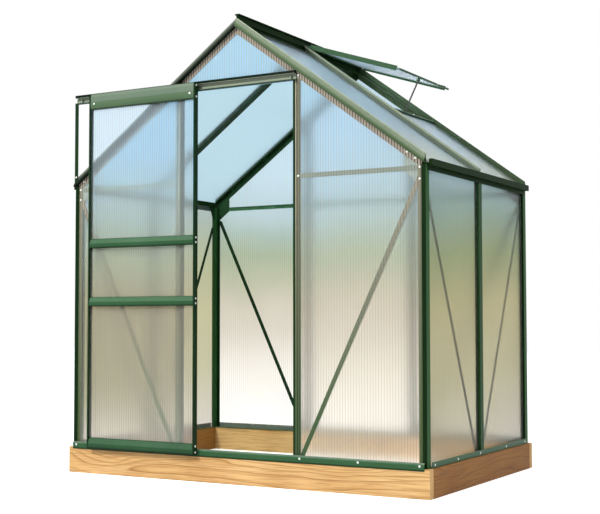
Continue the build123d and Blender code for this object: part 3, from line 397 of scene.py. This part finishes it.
def timber(name, along, heart, shade):
    """Planed softwood under a golden stain: growth rings round a wandering heart, knots, fine fibres."""
    material, shader, links, add = new_material(name)

    def sum_of(operation, first, second=None, third=None):
        node = add("ShaderNodeMath", operation=operation)
        for socket, value in zip(node.inputs, (first, second, third)):
            if value is None:
                continue
            if isinstance(value, float):
                socket.default_value = value
            else:
                links.new(value, socket)
        return node.outputs["Value"]

    place = add("ShaderNodeTexCoord").outputs["Object"]
    parts = add("ShaderNodeSeparateXYZ")
    links.new(place, parts.inputs["Vector"])
    across = "Y" if along == "X" else "X"
    stretch = add("ShaderNodeMapping")
    stretch.inputs["Scale"].default_value = [0.9 if axis == along else 5.0 for axis in "XYZ"]
    links.new(place, stretch.inputs["Vector"])
    wander = add("ShaderNodeTexNoise")
    wander.inputs["Scale"].default_value = 1.3
    wander.inputs["Detail"].default_value = 2.0
    links.new(stretch.outputs["Vector"], wander.inputs["Vector"])
    knots = add("ShaderNodeTexVoronoi")
    knots.inputs["Scale"].default_value = 1.15
    links.new(stretch.outputs["Vector"], knots.inputs["Vector"])
    near_knot = add("ShaderNodeMapRange", interpolation_type="SMOOTHSTEP")
    near_knot.inputs["From Min"].default_value = 0.34
    near_knot.inputs["From Max"].default_value = 0.0
    links.new(knots.outputs["Distance"], near_knot.inputs["Value"])
    high = sum_of("ADD", parts.outputs["Z"], sum_of("MULTIPLY_ADD", wander.outputs["Fac"], 0.16, -0.13))
    deep = sum_of("ADD", parts.outputs[across], heart)
    reach = sum_of("SQRT", sum_of("ADD", sum_of("MULTIPLY", high, high), sum_of("MULTIPLY", deep, deep)))
    bent = sum_of("MULTIPLY_ADD", near_knot.outputs["Result"], 0.016, reach)
    ring = sum_of("FRACT", sum_of("MULTIPLY", bent, 150.0))
    colour = add("ShaderNodeValToRGB")
    growth = (
        (0.0, (0.44, 0.215, 0.070)),
        (0.10, (0.74, 0.46, 0.205)),
        (0.62, (0.74, 0.445, 0.190)),
        (0.90, (0.64, 0.365, 0.140)),
        (1.0, (0.44, 0.215, 0.070)),
    )
    # The ring colours are multiplied by the shade tint: close to one for the front and back boards, painted shade for
    # the side boards.
    stops(colour, *((spot, [a * b for a, b in zip(tone, shade)]) for spot, tone in growth))
    links.new(ring, colour.inputs["Fac"])
    grain_run = add("ShaderNodeMapping")
    grain_run.inputs["Scale"].default_value = [4.0 if axis == along else 160.0 for axis in "XYZ"]
    links.new(place, grain_run.inputs["Vector"])
    fibre = add("ShaderNodeTexNoise")
    fibre.inputs["Scale"].default_value = 1.6
    fibre.inputs["Detail"].default_value = 5.0
    links.new(grain_run.outputs["Vector"], fibre.inputs["Vector"])
    tone = add("ShaderNodeValToRGB")
    stops(tone, (0.30, (0.58, 0.50, 0.40)), (0.56, (1.04, 1.04, 1.04)))
    links.new(fibre.outputs["Fac"], tone.inputs["Fac"])
    streak = add("ShaderNodeMix", data_type="RGBA", blend_type="MULTIPLY")
    streak.inputs["Factor"].default_value = 0.75
    links.new(colour.outputs["Color"], streak.inputs[6])
    links.new(tone.outputs["Color"], streak.inputs[7])
    stain = add("ShaderNodeTexNoise")
    stain.inputs["Scale"].default_value = 3.2
    stain.inputs["Detail"].default_value = 3.0
    links.new(place, stain.inputs["Vector"])
    uneven = add("ShaderNodeValToRGB")
    stops(uneven, (0.35, (0.86, 0.80, 0.74)), (0.62, (1.0, 1.0, 1.0)))
    links.new(stain.outputs["Fac"], uneven.inputs["Fac"])
    stained = add("ShaderNodeMix", data_type="RGBA", blend_type="MULTIPLY")
    stained.inputs["Factor"].default_value = 1.0
    links.new(streak.outputs[2], stained.inputs[6])
    links.new(uneven.outputs["Color"], stained.inputs[7])
    knot = add("ShaderNodeMapRange", interpolation_type="SMOOTHSTEP")
    knot.inputs["From Min"].default_value = 0.085
    knot.inputs["From Max"].default_value = 0.035
    knot.inputs["To Max"].default_value = 0.8
    links.new(knots.outputs["Distance"], knot.inputs["Value"])
    knotty = add("ShaderNodeMix", data_type="RGBA")
    links.new(knot.outputs["Result"], knotty.inputs["Factor"])
    links.new(stained.outputs[2], knotty.inputs[6])
    knotty.inputs[7].default_value = (0.20, 0.085, 0.030, 1.0)
    links.new(knotty.outputs[2], shader.inputs["Base Color"])
    bump = add("ShaderNodeBump")
    bump.inputs["Strength"].default_value = 0.35
    bump.inputs["Distance"].default_value = 0.0010
    links.new(fibre.outputs["Fac"], bump.inputs["Height"])
    links.new(bump.outputs["Normal"], shader.inputs["Normal"])
    rough = add("ShaderNodeMapRange")
    rough.inputs["To Min"].default_value = 0.52
    rough.inputs["To Max"].default_value = 0.70
    links.new(fibre.outputs["Fac"], rough.inputs["Value"])
    links.new(rough.outputs["Result"], shader.inputs["Roughness"])
    shader.inputs["Specular IOR Level"].default_value = 0.2
    return material


def bare_metal(name, colour, roughness, metallic):
    """Plain metal with fine scratches and a dull bloom."""
    material, shader, links, add = new_material(name)
    place = add("ShaderNodeTexCoord")
    scratch = add("ShaderNodeTexNoise")
    scratch.inputs["Scale"].default_value = 220.0
    scratch.inputs["Detail"].default_value = 4.0
    links.new(place.outputs["Object"], scratch.inputs["Vector"])
    tone = add("ShaderNodeValToRGB")
    stops(tone, (0.3, [0.82 * c for c in colour]), (0.7, colour))
    links.new(scratch.outputs["Fac"], tone.inputs["Fac"])
    links.new(tone.outputs["Color"], shader.inputs["Base Color"])
    rough = add("ShaderNodeMapRange")
    rough.inputs["To Min"].default_value = roughness - 0.08
    rough.inputs["To Max"].default_value = roughness + 0.1
    links.new(scratch.outputs["Fac"], rough.inputs["Value"])
    links.new(rough.outputs["Result"], shader.inputs["Roughness"])
    shader.inputs["Metallic"].default_value = metallic
    return material


middle_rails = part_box("door_mid_rails")
foot_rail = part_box("door_bottom_rail")


def rail_shade_and_highlight(*rails):
    """Bands for rails given by foot and top: painted shade along the foot and thinly along the top, a painted
    highlight between.
    """
    bands = []
    for low, high in rails:
        bands += [
            (low, (0.16, 0.20, 0.16)),
            (low + 0.005, (0.22, 0.28, 0.22)),
            (low + 0.009, (0.78, 0.80, 0.76)),
            (low + 0.022, (0.86, 0.88, 0.84)),
            (low + 0.024, (1.30, 1.20, 1.30)),
            (high - 0.004, (1.36, 1.24, 1.36)),
            (high - 0.002, (0.60, 0.66, 0.60)),
        ]
    return bands


RAIL_HEIGHT = 0.046
green = powder_coat("green_powder_coat", (0.022, 0.076, 0.028), (0.034, 0.098, 0.041), 0.38, 0.12, 0.25)
# Door middle and foot rails: the green coat with painted shade along each rail's foot and thinly along its top, and a
# painted highlight between.
rail_green = powder_coat(
    "green_powder_coat_middle_rails", (0.020, 0.076, 0.030), (0.031, 0.098, 0.043), 0.38, 0.12, 0.20,
    bands=rail_shade_and_highlight(
        (middle_rails[0].z, middle_rails[0].z + RAIL_HEIGHT), (middle_rails[1].z - RAIL_HEIGHT, middle_rails[1].z)
    ),
)
foot_green = powder_coat(
    "green_powder_coat_foot_rail", (0.018, 0.066, 0.026), (0.028, 0.086, 0.038), 0.38, 0.12, 0.20,
    bands=rail_shade_and_highlight((foot_rail[0].z, foot_rail[1].z)),
)
# Uprights: a darker copy of the green coat with little gloss, painted shade.
shaded_green = powder_coat("green_powder_coat_uprights", (0.005, 0.022, 0.007), (0.010, 0.032, 0.011), 0.38, 0.06, 0.02)
# Door jambs: the darker copy of the coat, painted shade, and past the nose the painted look through the lit sheet,
# slightly lifted.
jamb_green = powder_coat(
    "green_powder_coat_jambs", (0.005, 0.022, 0.007), (0.010, 0.032, 0.011), 0.38, 0.06, 0.02, nose=(0.0, 0.3160),
    sheet_light_lift=1.15,
)
# Corner posts: a near-black copy of the coat, painted shade, lighter on faces turned left or right as if lit from
# there, and past the nose the painted look through the lit sheet, lifted by half.
post_green = powder_coat(
    "green_powder_coat_posts", (0.003, 0.014, 0.003), (0.006, 0.022, 0.005), 0.38, 0.04, 0.02,
    side_light=(0.024, 0.085, 0.024), nose=(0.9300, 2.0), sheet_light_lift=1.5,
)
# Side studs: a darker copy of the coat, painted shade, lighter on faces turned left or right as if lit from there.
stud_green = powder_coat(
    "green_powder_coat_studs", (0.014, 0.040, 0.014), (0.022, 0.054, 0.022), 0.38, 0.04, 0.02,
    side_light=(0.020, 0.060, 0.020),
)
track_foot, track_top = (corner.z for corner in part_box("door_track"))
# Door track: a light sage copy of the coat, painted lit, with painted shade: dark at its foot, a dark line along the
# middle and black along the top.
track_green = powder_coat(
    "green_powder_coat_track", (0.24, 0.28, 0.21), (0.30, 0.34, 0.26), 0.38, 0.04, 0.02,
    bands=(
        (track_foot, (0.06, 0.12, 0.10)),
        (track_foot + 0.004, (0.08, 0.14, 0.12)),
        (track_foot + 0.006, (1.0, 1.0, 1.0)),
        (track_foot + 0.017, (1.0, 1.0, 1.0)),
        (track_foot + 0.018, (0.30, 0.36, 0.32)),
        (track_foot + 0.021, (0.30, 0.36, 0.32)),
        (track_foot + 0.022, (1.0, 1.0, 1.0)),
        (track_foot + 0.031, (1.0, 1.0, 1.0)),
        (track_foot + 0.032, (0.01, 0.03, 0.02)),
        (track_top, (0.01, 0.03, 0.02)),
    ),
)
front_rafter = nodes["gable_rafter_front_right"]
rafter_rise = max(v.co.z + ROOF_FALL * abs(v.co.x) for v in front_rafter.data.vertices)
# Right front rafter: a sage copy of the green coat, painted sky light, darker low on its face as painted shade, with
# a cream painted highlight along its top edge.
pale_green = powder_coat(
    "green_powder_coat_front_rafters", (0.105, 0.145, 0.080), (0.135, 0.180, 0.105), 0.38, 0.15, 0.55,
    bead=(0.014, 0.012, 0.008), run="slope",
    bands=(
        (rafter_rise - 0.040, (0.26, 0.38, 0.26)),
        (rafter_rise - 0.030, (0.46, 0.60, 0.44)),
        (rafter_rise - 0.024, (0.66, 0.78, 0.62)),
        (rafter_rise - 0.021, (1.00, 1.02, 1.10)),
        (rafter_rise - 0.006, (1.15, 1.12, 1.25)),
        (rafter_rise - 0.004, (1.90, 1.75, 2.00)),
        (rafter_rise, (2.00, 1.85, 2.10)),
    ),
)
# Far right rafter: a greyer, darker copy of the green coat, painted shade.
back_rafter_green = powder_coat(
    "green_powder_coat_back_rafter", (0.030, 0.058, 0.024), (0.046, 0.080, 0.036), 0.38, 0.12, 0.40,
)
middle_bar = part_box("roof_bar_right")
bar_middle = (middle_bar[0].y + middle_bar[1].y) / 2
# Right roof bar: a sage copy of the green coat, painted sky reflection, with a cream painted highlight line either
# side of its middle.
middle_green = powder_coat(
    "green_powder_coat_roof_bar", (0.105, 0.140, 0.110), (0.135, 0.170, 0.135), 0.38, 0.15, 0.40, run="Y",
    bands=(
        (middle_bar[0].y, (0.80, 0.84, 0.80)),
        (bar_middle - 0.0085, (0.80, 0.84, 0.80)),
        (bar_middle - 0.0078, (2.70, 2.40, 2.10)),
        (bar_middle - 0.0050, (2.70, 2.40, 2.10)),
        (bar_middle - 0.0042, (0.90, 0.96, 0.90)),
        (bar_middle + 0.0042, (0.90, 0.96, 0.90)),
        (bar_middle + 0.0050, (2.70, 2.40, 2.10)),
        (bar_middle + 0.0078, (2.70, 2.40, 2.10)),
        (bar_middle + 0.0085, (0.80, 0.84, 0.80)),
        (middle_bar[1].y, (0.80, 0.84, 0.80)),
    ),
)
# Left front rafter: a dark copy of the coat, painted shade, with a painted highlight along its outer edge and the
# ribs' painted light and shade in front.
left_rafter_green = powder_coat(
    "green_powder_coat_left_rafter", (0.040, 0.060, 0.036), (0.060, 0.085, 0.052), 0.38, 0.12, 0.30,
    bead=(0.014, 0.012, 0.008), run="slope",
    bands=(
        (rafter_rise - 0.040, (0.14, 0.20, 0.14)),
        (rafter_rise - 0.018, (0.20, 0.28, 0.20)),
        (rafter_rise - 0.012, (1.20, 1.20, 1.20)),
        (rafter_rise - 0.002, (1.90, 1.75, 1.80)),
    ),
)
sill_foot, sill_top = (corner.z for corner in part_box("front_sill"))
# Front sill: the green coat with painted shade along its foot and a painted highlight along its top.
sill_green = powder_coat(
    "green_powder_coat_front_sill", (0.022, 0.076, 0.028), (0.034, 0.098, 0.041), 0.38, 0.12, 0.25,
    bands=(
        (sill_foot, (0.20, 0.26, 0.20)),
        (sill_foot + 0.005, (0.26, 0.32, 0.26)),
        (sill_foot + 0.008, (1.00, 1.00, 1.00)),
        (sill_top - 0.012, (1.00, 1.00, 1.00)),
        (sill_top - 0.008, (1.90, 1.45, 1.90)),
        (sill_top, (2.20, 1.60, 2.20)),
    ),
)
# Ridge bar and gutters: a near-black copy of the green coat with little gloss, painted shade.
gutter_green = powder_coat(
    "green_powder_coat_gutters", (0.004, 0.017, 0.003), (0.009, 0.027, 0.007), 0.38, 0.02, 0.0, shine=0.2
)
# Front ties and braces: the green coat, with its painted look through the lit sheet halved.
brace_green = powder_coat(
    "green_powder_coat_front_ties", (0.022, 0.076, 0.028), (0.034, 0.098, 0.041), 0.38, 0.10, 0.10, sheet_light_lift=0.5,
)
# Side braces: a near-black brown copy of the coat, painted shade, for braces seen behind the side sheets.
side_brace_green = powder_coat(
    "green_powder_coat_side_braces", (0.016, 0.016, 0.006), (0.026, 0.026, 0.010), 0.38, 0.04, 0.0
)
rail_foot, rail_top = (corner[2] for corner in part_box("door_top_rail"))
# Door top rail: a sage copy of the green coat, painted lit, with painted shade along its foot and a slightly darker
# top edge.
rail_bands = (
    (rail_foot, (0.10, 0.16, 0.10)),
    (rail_foot + 0.005, (0.14, 0.22, 0.14)),
    (rail_foot + 0.008, (0.46, 0.62, 0.42)),
    (rail_foot + 0.036, (0.62, 0.74, 0.56)),
    (rail_foot + 0.040, (0.98, 0.98, 0.98)),
    (rail_top - 0.014, (1.0, 1.0, 1.0)),
    (rail_top, (0.85, 0.88, 0.85)),
)
sage_green = powder_coat(
    "green_powder_coat_top_rail", (0.105, 0.155, 0.108), (0.140, 0.190, 0.140), 0.38, 0.2, 0.30, bands=rail_bands
)
# Sheet tints by height, as shares of a 2 m rise from 0.12 m: painted light, a blue sky reflection high up, whitish,
# olive and beige lower down; the door and left front tables are darker in the middle and the back and side tables
# darker overall, painted shade.
wall_heights = (
    (0.00, (0.97, 0.94, 0.90)),
    (0.18, (0.93, 0.89, 0.83)),
    (0.34, (0.84, 0.80, 0.71)),
    (0.46, (0.78, 0.82, 0.74)),
    (0.58, (0.69, 0.81, 0.85)),
    (0.72, (0.62, 0.80, 0.94)),
    (1.00, (0.60, 0.82, 0.99)),
)
door_heights = (
    (0.00, (0.97, 0.94, 0.90)),
    (0.08, (0.86, 0.83, 0.76)),
    (0.18, (0.74, 0.71, 0.60)),
    (0.34, (0.70, 0.66, 0.55)),
    (0.46, (0.68, 0.72, 0.63)),
    (0.58, (0.67, 0.78, 0.80)),
    (0.72, (0.62, 0.80, 0.94)),
    (1.00, (0.60, 0.82, 0.99)),
)
left_front_heights = (
    (0.00, (0.80, 0.77, 0.72)),
    (0.10, (0.56, 0.56, 0.43)),
    (0.20, (0.50, 0.49, 0.37)),
    (0.34, (0.50, 0.48, 0.39)),
    (0.44, (0.60, 0.66, 0.62)),
    (0.58, (0.69, 0.81, 0.85)),
    (0.72, (0.62, 0.80, 0.94)),
    (1.00, (0.60, 0.82, 0.99)),
)
back_heights = (
    (0.00, (0.93, 0.90, 0.86)),
    (0.20, (0.86, 0.80, 0.70)),
    (0.35, (0.74, 0.67, 0.53)),
    (0.42, (0.52, 0.54, 0.35)),
    (0.49, (0.36, 0.46, 0.27)),
    (0.55, (0.37, 0.52, 0.44)),
    (0.62, (0.47, 0.66, 0.72)),
    (0.72, (0.56, 0.77, 0.90)),
    (1.00, (0.55, 0.78, 0.96)),
)
side_heights = (
    (0.00, (0.50, 0.46, 0.41)),
    (0.08, (0.48, 0.45, 0.34)),
    (0.18, (0.47, 0.45, 0.25)),
    (0.34, (0.60, 0.57, 0.29)),
    (0.46, (0.48, 0.52, 0.27)),
    (0.56, (0.40, 0.52, 0.43)),
    (0.66, (0.46, 0.60, 0.68)),
    (1.00, (0.50, 0.70, 0.88)),
)
left_roof_heights = (
    (0.00, (0.62, 0.82, 0.95)),
    (0.66, (0.51, 0.83, 1.0)),
    (1.00, (0.47, 0.82, 1.0)),
)
roof_heights = (
    (0.00, (0.66, 0.74, 0.66)),
    (0.64, (0.62, 0.70, 0.60)),
    (0.76, (0.54, 0.72, 0.84)),
    (1.00, (0.56, 0.78, 0.96)),
)
gable_sheet = twin_wall("gable_twin_wall", "X", RIB_PITCH, door_heights, 0.93, 0.12)
brace = [v.co for v in nodes["front_braces"].data.vertices if v.co.x > 0]
foot = min(v.z for v in brace)
crown = max(v.z for v in brace)
low_end = sorted(brace, key=lambda v: v.z)[:4]
high_end = sorted(brace, key=lambda v: -v.z)[:4]
start = sum(low_end, Vector()) / len(low_end)
finish = sum(high_end, Vector()) / len(high_end)
run = (finish - start).normalized()
brace_out, brace_up = run.z, -run.x
brace_line = brace_out * start.x + brace_up * start.z
ties = [v.co.z for v in nodes["gable_ties"].data.vertices if v.co.y < 0]
jamb_out = max(abs(v.co.x) for v in nodes["door_jamb_right"].data.vertices)
post_in = min(abs(v.co.x) for v in nodes["corner_post_front_right"].data.vertices)
flange = [v.co.z + ROOF_FALL * v.co.x for v in front_rafter.data.vertices if abs(v.co.y + 0.603) < 0.0002]
# Strips of the front sheets painted with the look of the ties, brace, jamb, post and rafter flange behind them:
# painted light and shade, ribbed, and for the brace, jamb and post dark green low down and tan higher up.
front_clamps = (
    (0.0, 1.0, min(ties), max(ties), *[(0.16, 0.18, 0.15), (0.26, 0.29, 0.25)] * 2),
    (
        brace_out, brace_up, brace_line - 0.010, brace_line + 0.010,
        (0.050, 0.085, 0.040), (0.070, 0.115, 0.055), (0.18, 0.17, 0.135), (0.30, 0.28, 0.23),
    ),
    (
        1.0, 0.0, 0.30, jamb_out,
        (0.030, 0.055, 0.022), (0.060, 0.095, 0.045), (0.11, 0.11, 0.08), (0.17, 0.17, 0.125),
    ),
    (
        1.0, 0.0, post_in, 0.94,
        (0.060, 0.085, 0.035), (0.090, 0.120, 0.055), (0.15, 0.15, 0.11), (0.23, 0.22, 0.165),
    ),
    (ROOF_FALL, 1.0, min(flange), max(flange), *[(0.045, 0.036, 0.028), (0.37, 0.33, 0.27)] * 2),
)
front_sheet = twin_wall("front_twin_wall", "X", RIB_PITCH, wall_heights, 0.93, 0.12, front_clamps)
left_front_sheet = twin_wall(
    "left_front_twin_wall", "X", RIB_PITCH, left_front_heights, 0.93, 0.12, front_clamps
)
back_sheet = twin_wall("back_twin_wall", "X", RIB_PITCH, back_heights, 0.95, 0.08)
side_sheet = twin_wall("side_twin_wall", "Y", RIB_PITCH, side_heights, 0.96, 0.10)
roof_sheet = twin_wall("roof_twin_wall", "Y", RIB_PITCH, roof_heights, 0.92, 0.10)
# The right roof sheet's strip over its bar, painted with the shaded look of the bar under it.
bar_clamps = ((1.0, 0.0, 0.0, 0.0205, *[(0.13, 0.16, 0.14)] * 4),)
barred_roof_sheet = twin_wall(
    "roof_twin_wall_on_its_bar", "Y", RIB_PITCH, roof_heights, 0.92, 0.10, bar_clamps, bar_middle
)
blue_roof_sheet = twin_wall("left_roof_twin_wall", "Y", RIB_PITCH, left_roof_heights, 1.0, 0.04)
long_timber = timber("timber_along_the_front", "X", 0.52, (0.95, 1.0, 1.02))
# Side boards: the same stain made much darker and browner, painted shade.
side_timber = timber("timber_along_the_side", "Y", -0.86, (0.42, 0.30, 0.16))
bright = bare_metal("bright_bolt_metal", (0.90, 0.90, 0.88), 0.35, 0.35)
# Vent stay: bare aluminium given a near-black colour, painted shade.
flat_bar = bare_metal("stay_flat_bar", (0.030, 0.036, 0.033), 0.34, 0.8)
black_plastic = powder_coat("roller_nylon", (0.020, 0.020, 0.020), (0.034, 0.034, 0.033), 0.45, 0.4, 0.10)

front_sheets = ("front_right_panel", "front_top_panel")
side_sheets = ("left_wall_panels", "right_wall_panels")
posts = ("corner_post_front_left", "corner_post_front_right", "corner_post_back_left", "corner_post_back_right")
studs = ("side_stud_left", "side_stud_right")
uprights = (
    "back_studs", "door_stiles", "track_hanger",
    "back_braces", "left_braces", "gusset_plates", "roof_bar_left", "gable_rafter_back_left",
)
dark_runs = ("ridge_bar", "gutter_left", "gutter_right", "gutter_end_caps")
for name, piece in nodes.items():
    paint([name], green)
paint(uprights, shaded_green)
paint(posts, post_green)
paint(studs, stud_green)
paint(("door_jamb_left", "door_jamb_right"), jamb_green)
paint(("door_track",), track_green)
paint(("door_mid_rails",), rail_green)
paint(("door_bottom_rail",), foot_green)
paint(("gable_rafter_front_left",), left_rafter_green)
paint(("gable_rafter_front_right",), pale_green)
paint(("front_sill",), sill_green)
paint(("gable_rafter_back_right",), back_rafter_green)
paint(("roof_bar_right",), middle_green)
paint(dark_runs, gutter_green)
paint(("right_braces",), side_brace_green)
paint(("front_braces", "gable_ties"), brace_green)
paint(("door_top_rail",), sage_green)
paint(front_sheets, front_sheet)
paint(("front_left_panel",), left_front_sheet)
paint(("door_panels",), gable_sheet)
paint(("back_panels",), back_sheet)
paint(side_sheets, side_sheet)
paint(("vent_panel",), roof_sheet)
paint(("right_roof_panels",), barred_roof_sheet)
paint(("left_roof_panels",), blue_roof_sheet)
paint(("frame_bolts", "door_bolts", "vent_peg", "door_hangers"), bright)
paint(("vent_stay",), flat_bar)
paint(("door_roller_left", "door_roller_right"), black_plastic)
paint(("plinth_front_board", "plinth_back_board"), long_timber)
paint(("plinth_left_board", "plinth_right_board"), side_timber)

# ---- Eased edges of the boards ----
for name in ("plinth_front_board", "plinth_back_board", "plinth_left_board", "plinth_right_board"):
    board = nodes[name]
    joined = board.modifiers.new("joined", "WELD")
    joined.merge_threshold = 0.00005
    eased = board.modifiers.new("eased", "BEVEL")
    eased.width = 0.0025
    eased.segments = 3
    eased.limit_method = "ANGLE"
    eased.angle_limit = math.radians(40.0)

# ---- Bolt heads: a washer and a domed head, modelled once ----
BOLT_HEIGHT = 0.003
drop_selection()
bpy.ops.mesh.primitive_cylinder_add(vertices=24, radius=0.005, depth=0.0008, location=(0.0, 0.0, 0.0004))
washer = active()
bpy.ops.mesh.primitive_cylinder_add(vertices=24, radius=0.0039, depth=0.0022, location=(0.0, 0.0, 0.0019))
head = active()
bpy.ops.object.mode_set(mode="EDIT")
bpy.ops.mesh.select_all(action="DESELECT")
bpy.ops.object.mode_set(mode="OBJECT")
for edge in head.data.edges:
    ends = [head.data.vertices[i].co.z for i in edge.vertices]
    edge.select = min(ends) > 0.0
bpy.ops.object.mode_set(mode="EDIT")
bpy.ops.mesh.select_mode(type="EDGE")
bpy.ops.mesh.bevel(offset=0.0017, segments=4, profile=0.5)
bpy.ops.object.mode_set(mode="OBJECT")
washer.select_set(True)
head.select_set(True)
bpy.context.view_layer.objects.active = head
bpy.ops.object.join()
settle(head)
bpy.ops.object.shade_smooth_by_angle(angle=math.radians(35.0))
head.name = "bolt_head_pattern"


def bolt_places(node):
    """Foot and facing of each bolt in a CAD piece, from the low wide end of its cone."""
    shape = bmesh.new()
    shape.from_mesh(nodes[node].data)
    bmesh.ops.remove_doubles(shape, verts=shape.verts, dist=0.00002)
    places = []
    left = set(shape.verts)
    while left:
        island, edge_of = set(), [left.pop()]
        while edge_of:
            vertex = edge_of.pop()
            island.add(vertex)
            for edge in vertex.link_edges:
                other = edge.other_vert(vertex)
                if other in left:
                    left.remove(other)
                    edge_of.append(other)
        points = [v.co for v in island]
        low = Vector([min(p[i] for p in points) for i in range(3)])
        high = Vector([max(p[i] for p in points) for i in range(3)])
        axis = min(range(3), key=lambda i: high[i] - low[i])
        centre = (low + high) / 2.0

        def spread(level):
            near = [p for p in points if abs(p[axis] - level) < 0.0002]
            return max((p - centre).length for p in near)

        upward = spread(low[axis]) > spread(high[axis])
        facing = Vector((0.0, 0.0, 0.0))
        facing[axis] = 1.0 if upward else -1.0
        centre[axis] = low[axis] if upward else high[axis]
        places.append((centre, facing))
    shape.free()
    return places


def bolt_set(name, node, body):
    """One piece of bolt heads, a head at each bolt of a CAD piece."""
    heads = []
    for number, (foot, facing) in enumerate(bolt_places(node)):
        mesh = head.data.copy()
        turn = facing.to_track_quat("Z", "Y").to_matrix().to_4x4()
        mesh.transform(Matrix.Translation(foot) @ turn)
        copy = bpy.data.objects.new(f"{name}_{number}", mesh)
        scene.collection.objects.link(copy)
        heads.append(copy)
    drop_selection()
    for copy in heads:
        copy.select_set(True)
    bpy.context.view_layer.objects.active = heads[0]
    bpy.ops.object.join()
    whole = active()
    whole.name = name
    dress(whole, bright, body)
    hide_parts(node)


bolt_set("frame_bolt_heads", "frame_bolts", "frame")
bolt_set("door_bolt_heads", "door_bolts", "door")
bpy.data.objects.remove(head)

# ---- Floor, sky and lights ----
drop_selection()
bpy.ops.mesh.primitive_plane_add(size=40.0, location=(0.0, 0.0, 0.0))
floor = active()
floor.name = "floor"
settle(floor)
floor_material, floor_shader, floor_links, floor_add = new_material("pale_floor")
floor_shader.inputs["Base Color"].default_value = (0.80, 0.80, 0.80, 1.0)
floor_shader.inputs["Roughness"].default_value = 0.9
floor_path = floor_add("ShaderNodeLightPath")
floor_through = floor_add("ShaderNodeMath", operation="MAXIMUM")
floor_links.new(floor_path.outputs["Is Glossy Ray"], floor_through.inputs[0])
floor_links.new(floor_path.outputs["Is Transmission Ray"], floor_through.inputs[1])
floor_seen = floor_add("ShaderNodeMath", operation="MAXIMUM")
floor_links.new(floor_path.outputs["Is Camera Ray"], floor_seen.inputs[0])
floor_links.new(floor_through.outputs["Value"], floor_seen.inputs[1])
floor_lift = floor_add("ShaderNodeMath", operation="MULTIPLY")
floor_lift.inputs[1].default_value = 0.62
floor_links.new(floor_seen.outputs["Value"], floor_lift.inputs[0])
floor_shader.inputs["Emission Color"].default_value = (1.0, 1.0, 1.0, 1.0)
floor_links.new(floor_lift.outputs["Value"], floor_shader.inputs["Emission Strength"])
floor.data.materials.append(floor_material)

world = bpy.data.worlds.new("soft_studio")
scene.world = world
world.use_nodes = True
tree = world.node_tree
direction = tree.nodes.new("ShaderNodeTexCoord")
height = tree.nodes.new("ShaderNodeSeparateXYZ")
tree.links.new(direction.outputs["Generated"], height.inputs["Vector"])
dome = tree.nodes.new("ShaderNodeMapRange")
dome.inputs["From Min"].default_value = 0.0
dome.inputs["From Max"].default_value = 0.8
dome.inputs["To Min"].default_value = 0.22
dome.inputs["To Max"].default_value = 0.95
tree.links.new(height.outputs["Z"], dome.inputs["Value"])
sky = tree.nodes["Background"]
sky.inputs["Color"].default_value = (0.94, 0.97, 1.0, 1.0)
tree.links.new(dome.outputs["Result"], sky.inputs["Strength"])
white = tree.nodes.new("ShaderNodeBackground")
white.inputs["Color"].default_value = (1.0, 1.0, 1.0, 1.0)
white.inputs["Strength"].default_value = 1.0
path = tree.nodes.new("ShaderNodeLightPath")
through = tree.nodes.new("ShaderNodeMath")
through.operation = "MAXIMUM"
tree.links.new(path.outputs["Is Glossy Ray"], through.inputs[0])
tree.links.new(path.outputs["Is Transmission Ray"], through.inputs[1])
seen = tree.nodes.new("ShaderNodeMath")
seen.operation = "MAXIMUM"
tree.links.new(path.outputs["Is Camera Ray"], seen.inputs[0])
tree.links.new(through.outputs["Value"], seen.inputs[1])
pick = tree.nodes.new("ShaderNodeMixShader")
tree.links.new(seen.outputs["Value"], pick.inputs["Fac"])
tree.links.new(sky.outputs["Background"], pick.inputs[1])
tree.links.new(white.outputs["Background"], pick.inputs[2])
tree.links.new(pick.outputs["Shader"], tree.nodes["World Output"].inputs["Surface"])


def lamp(name, place, target, size, watts, colour):
    """Soft square lamp that points at a target."""
    data = bpy.data.lights.new(name, "AREA")
    data.shape = "SQUARE"
    data.size = size
    data.energy = watts
    data.color = colour
    thing = bpy.data.objects.new(name, data)
    scene.collection.objects.link(thing)
    thing.location = place
    thing.rotation_euler = (Vector(target) - Vector(place)).to_track_quat("-Z", "Y").to_euler()
    return thing


lamp("key_lamp", (-2.2, -6.2, 5.4), (0.0, 0.0, 1.0), 2.0, 520.0, (1.0, 0.98, 0.94))
lamp("fill_lamp", (6.0, -1.5, 4.5), (0.0, 0.0, 1.0), 3.0, 80.0, (0.95, 0.98, 1.0))

# ---- Camera ----
camera_data = bpy.data.cameras.new("camera")
camera_data.sensor_width = 36.0
camera_data.lens = 1211.845 / 600.0 * 36.0
camera = bpy.data.objects.new("camera", camera_data)
scene.collection.objects.link(camera)
yaw, pitch, roll = 0.520, 0.051, -0.001
camera.location = (3.0161, -5.2856, 0.7517)
look = Vector((-math.sin(yaw) * math.cos(pitch), math.cos(yaw) * math.cos(pitch), math.sin(pitch)))
camera.rotation_euler = (look.to_track_quat("-Z", "Y") @ Matrix.Rotation(roll, 3, "Z").to_quaternion()).to_euler()
scene.camera = camera
scene.view_settings.view_transform = "Standard"
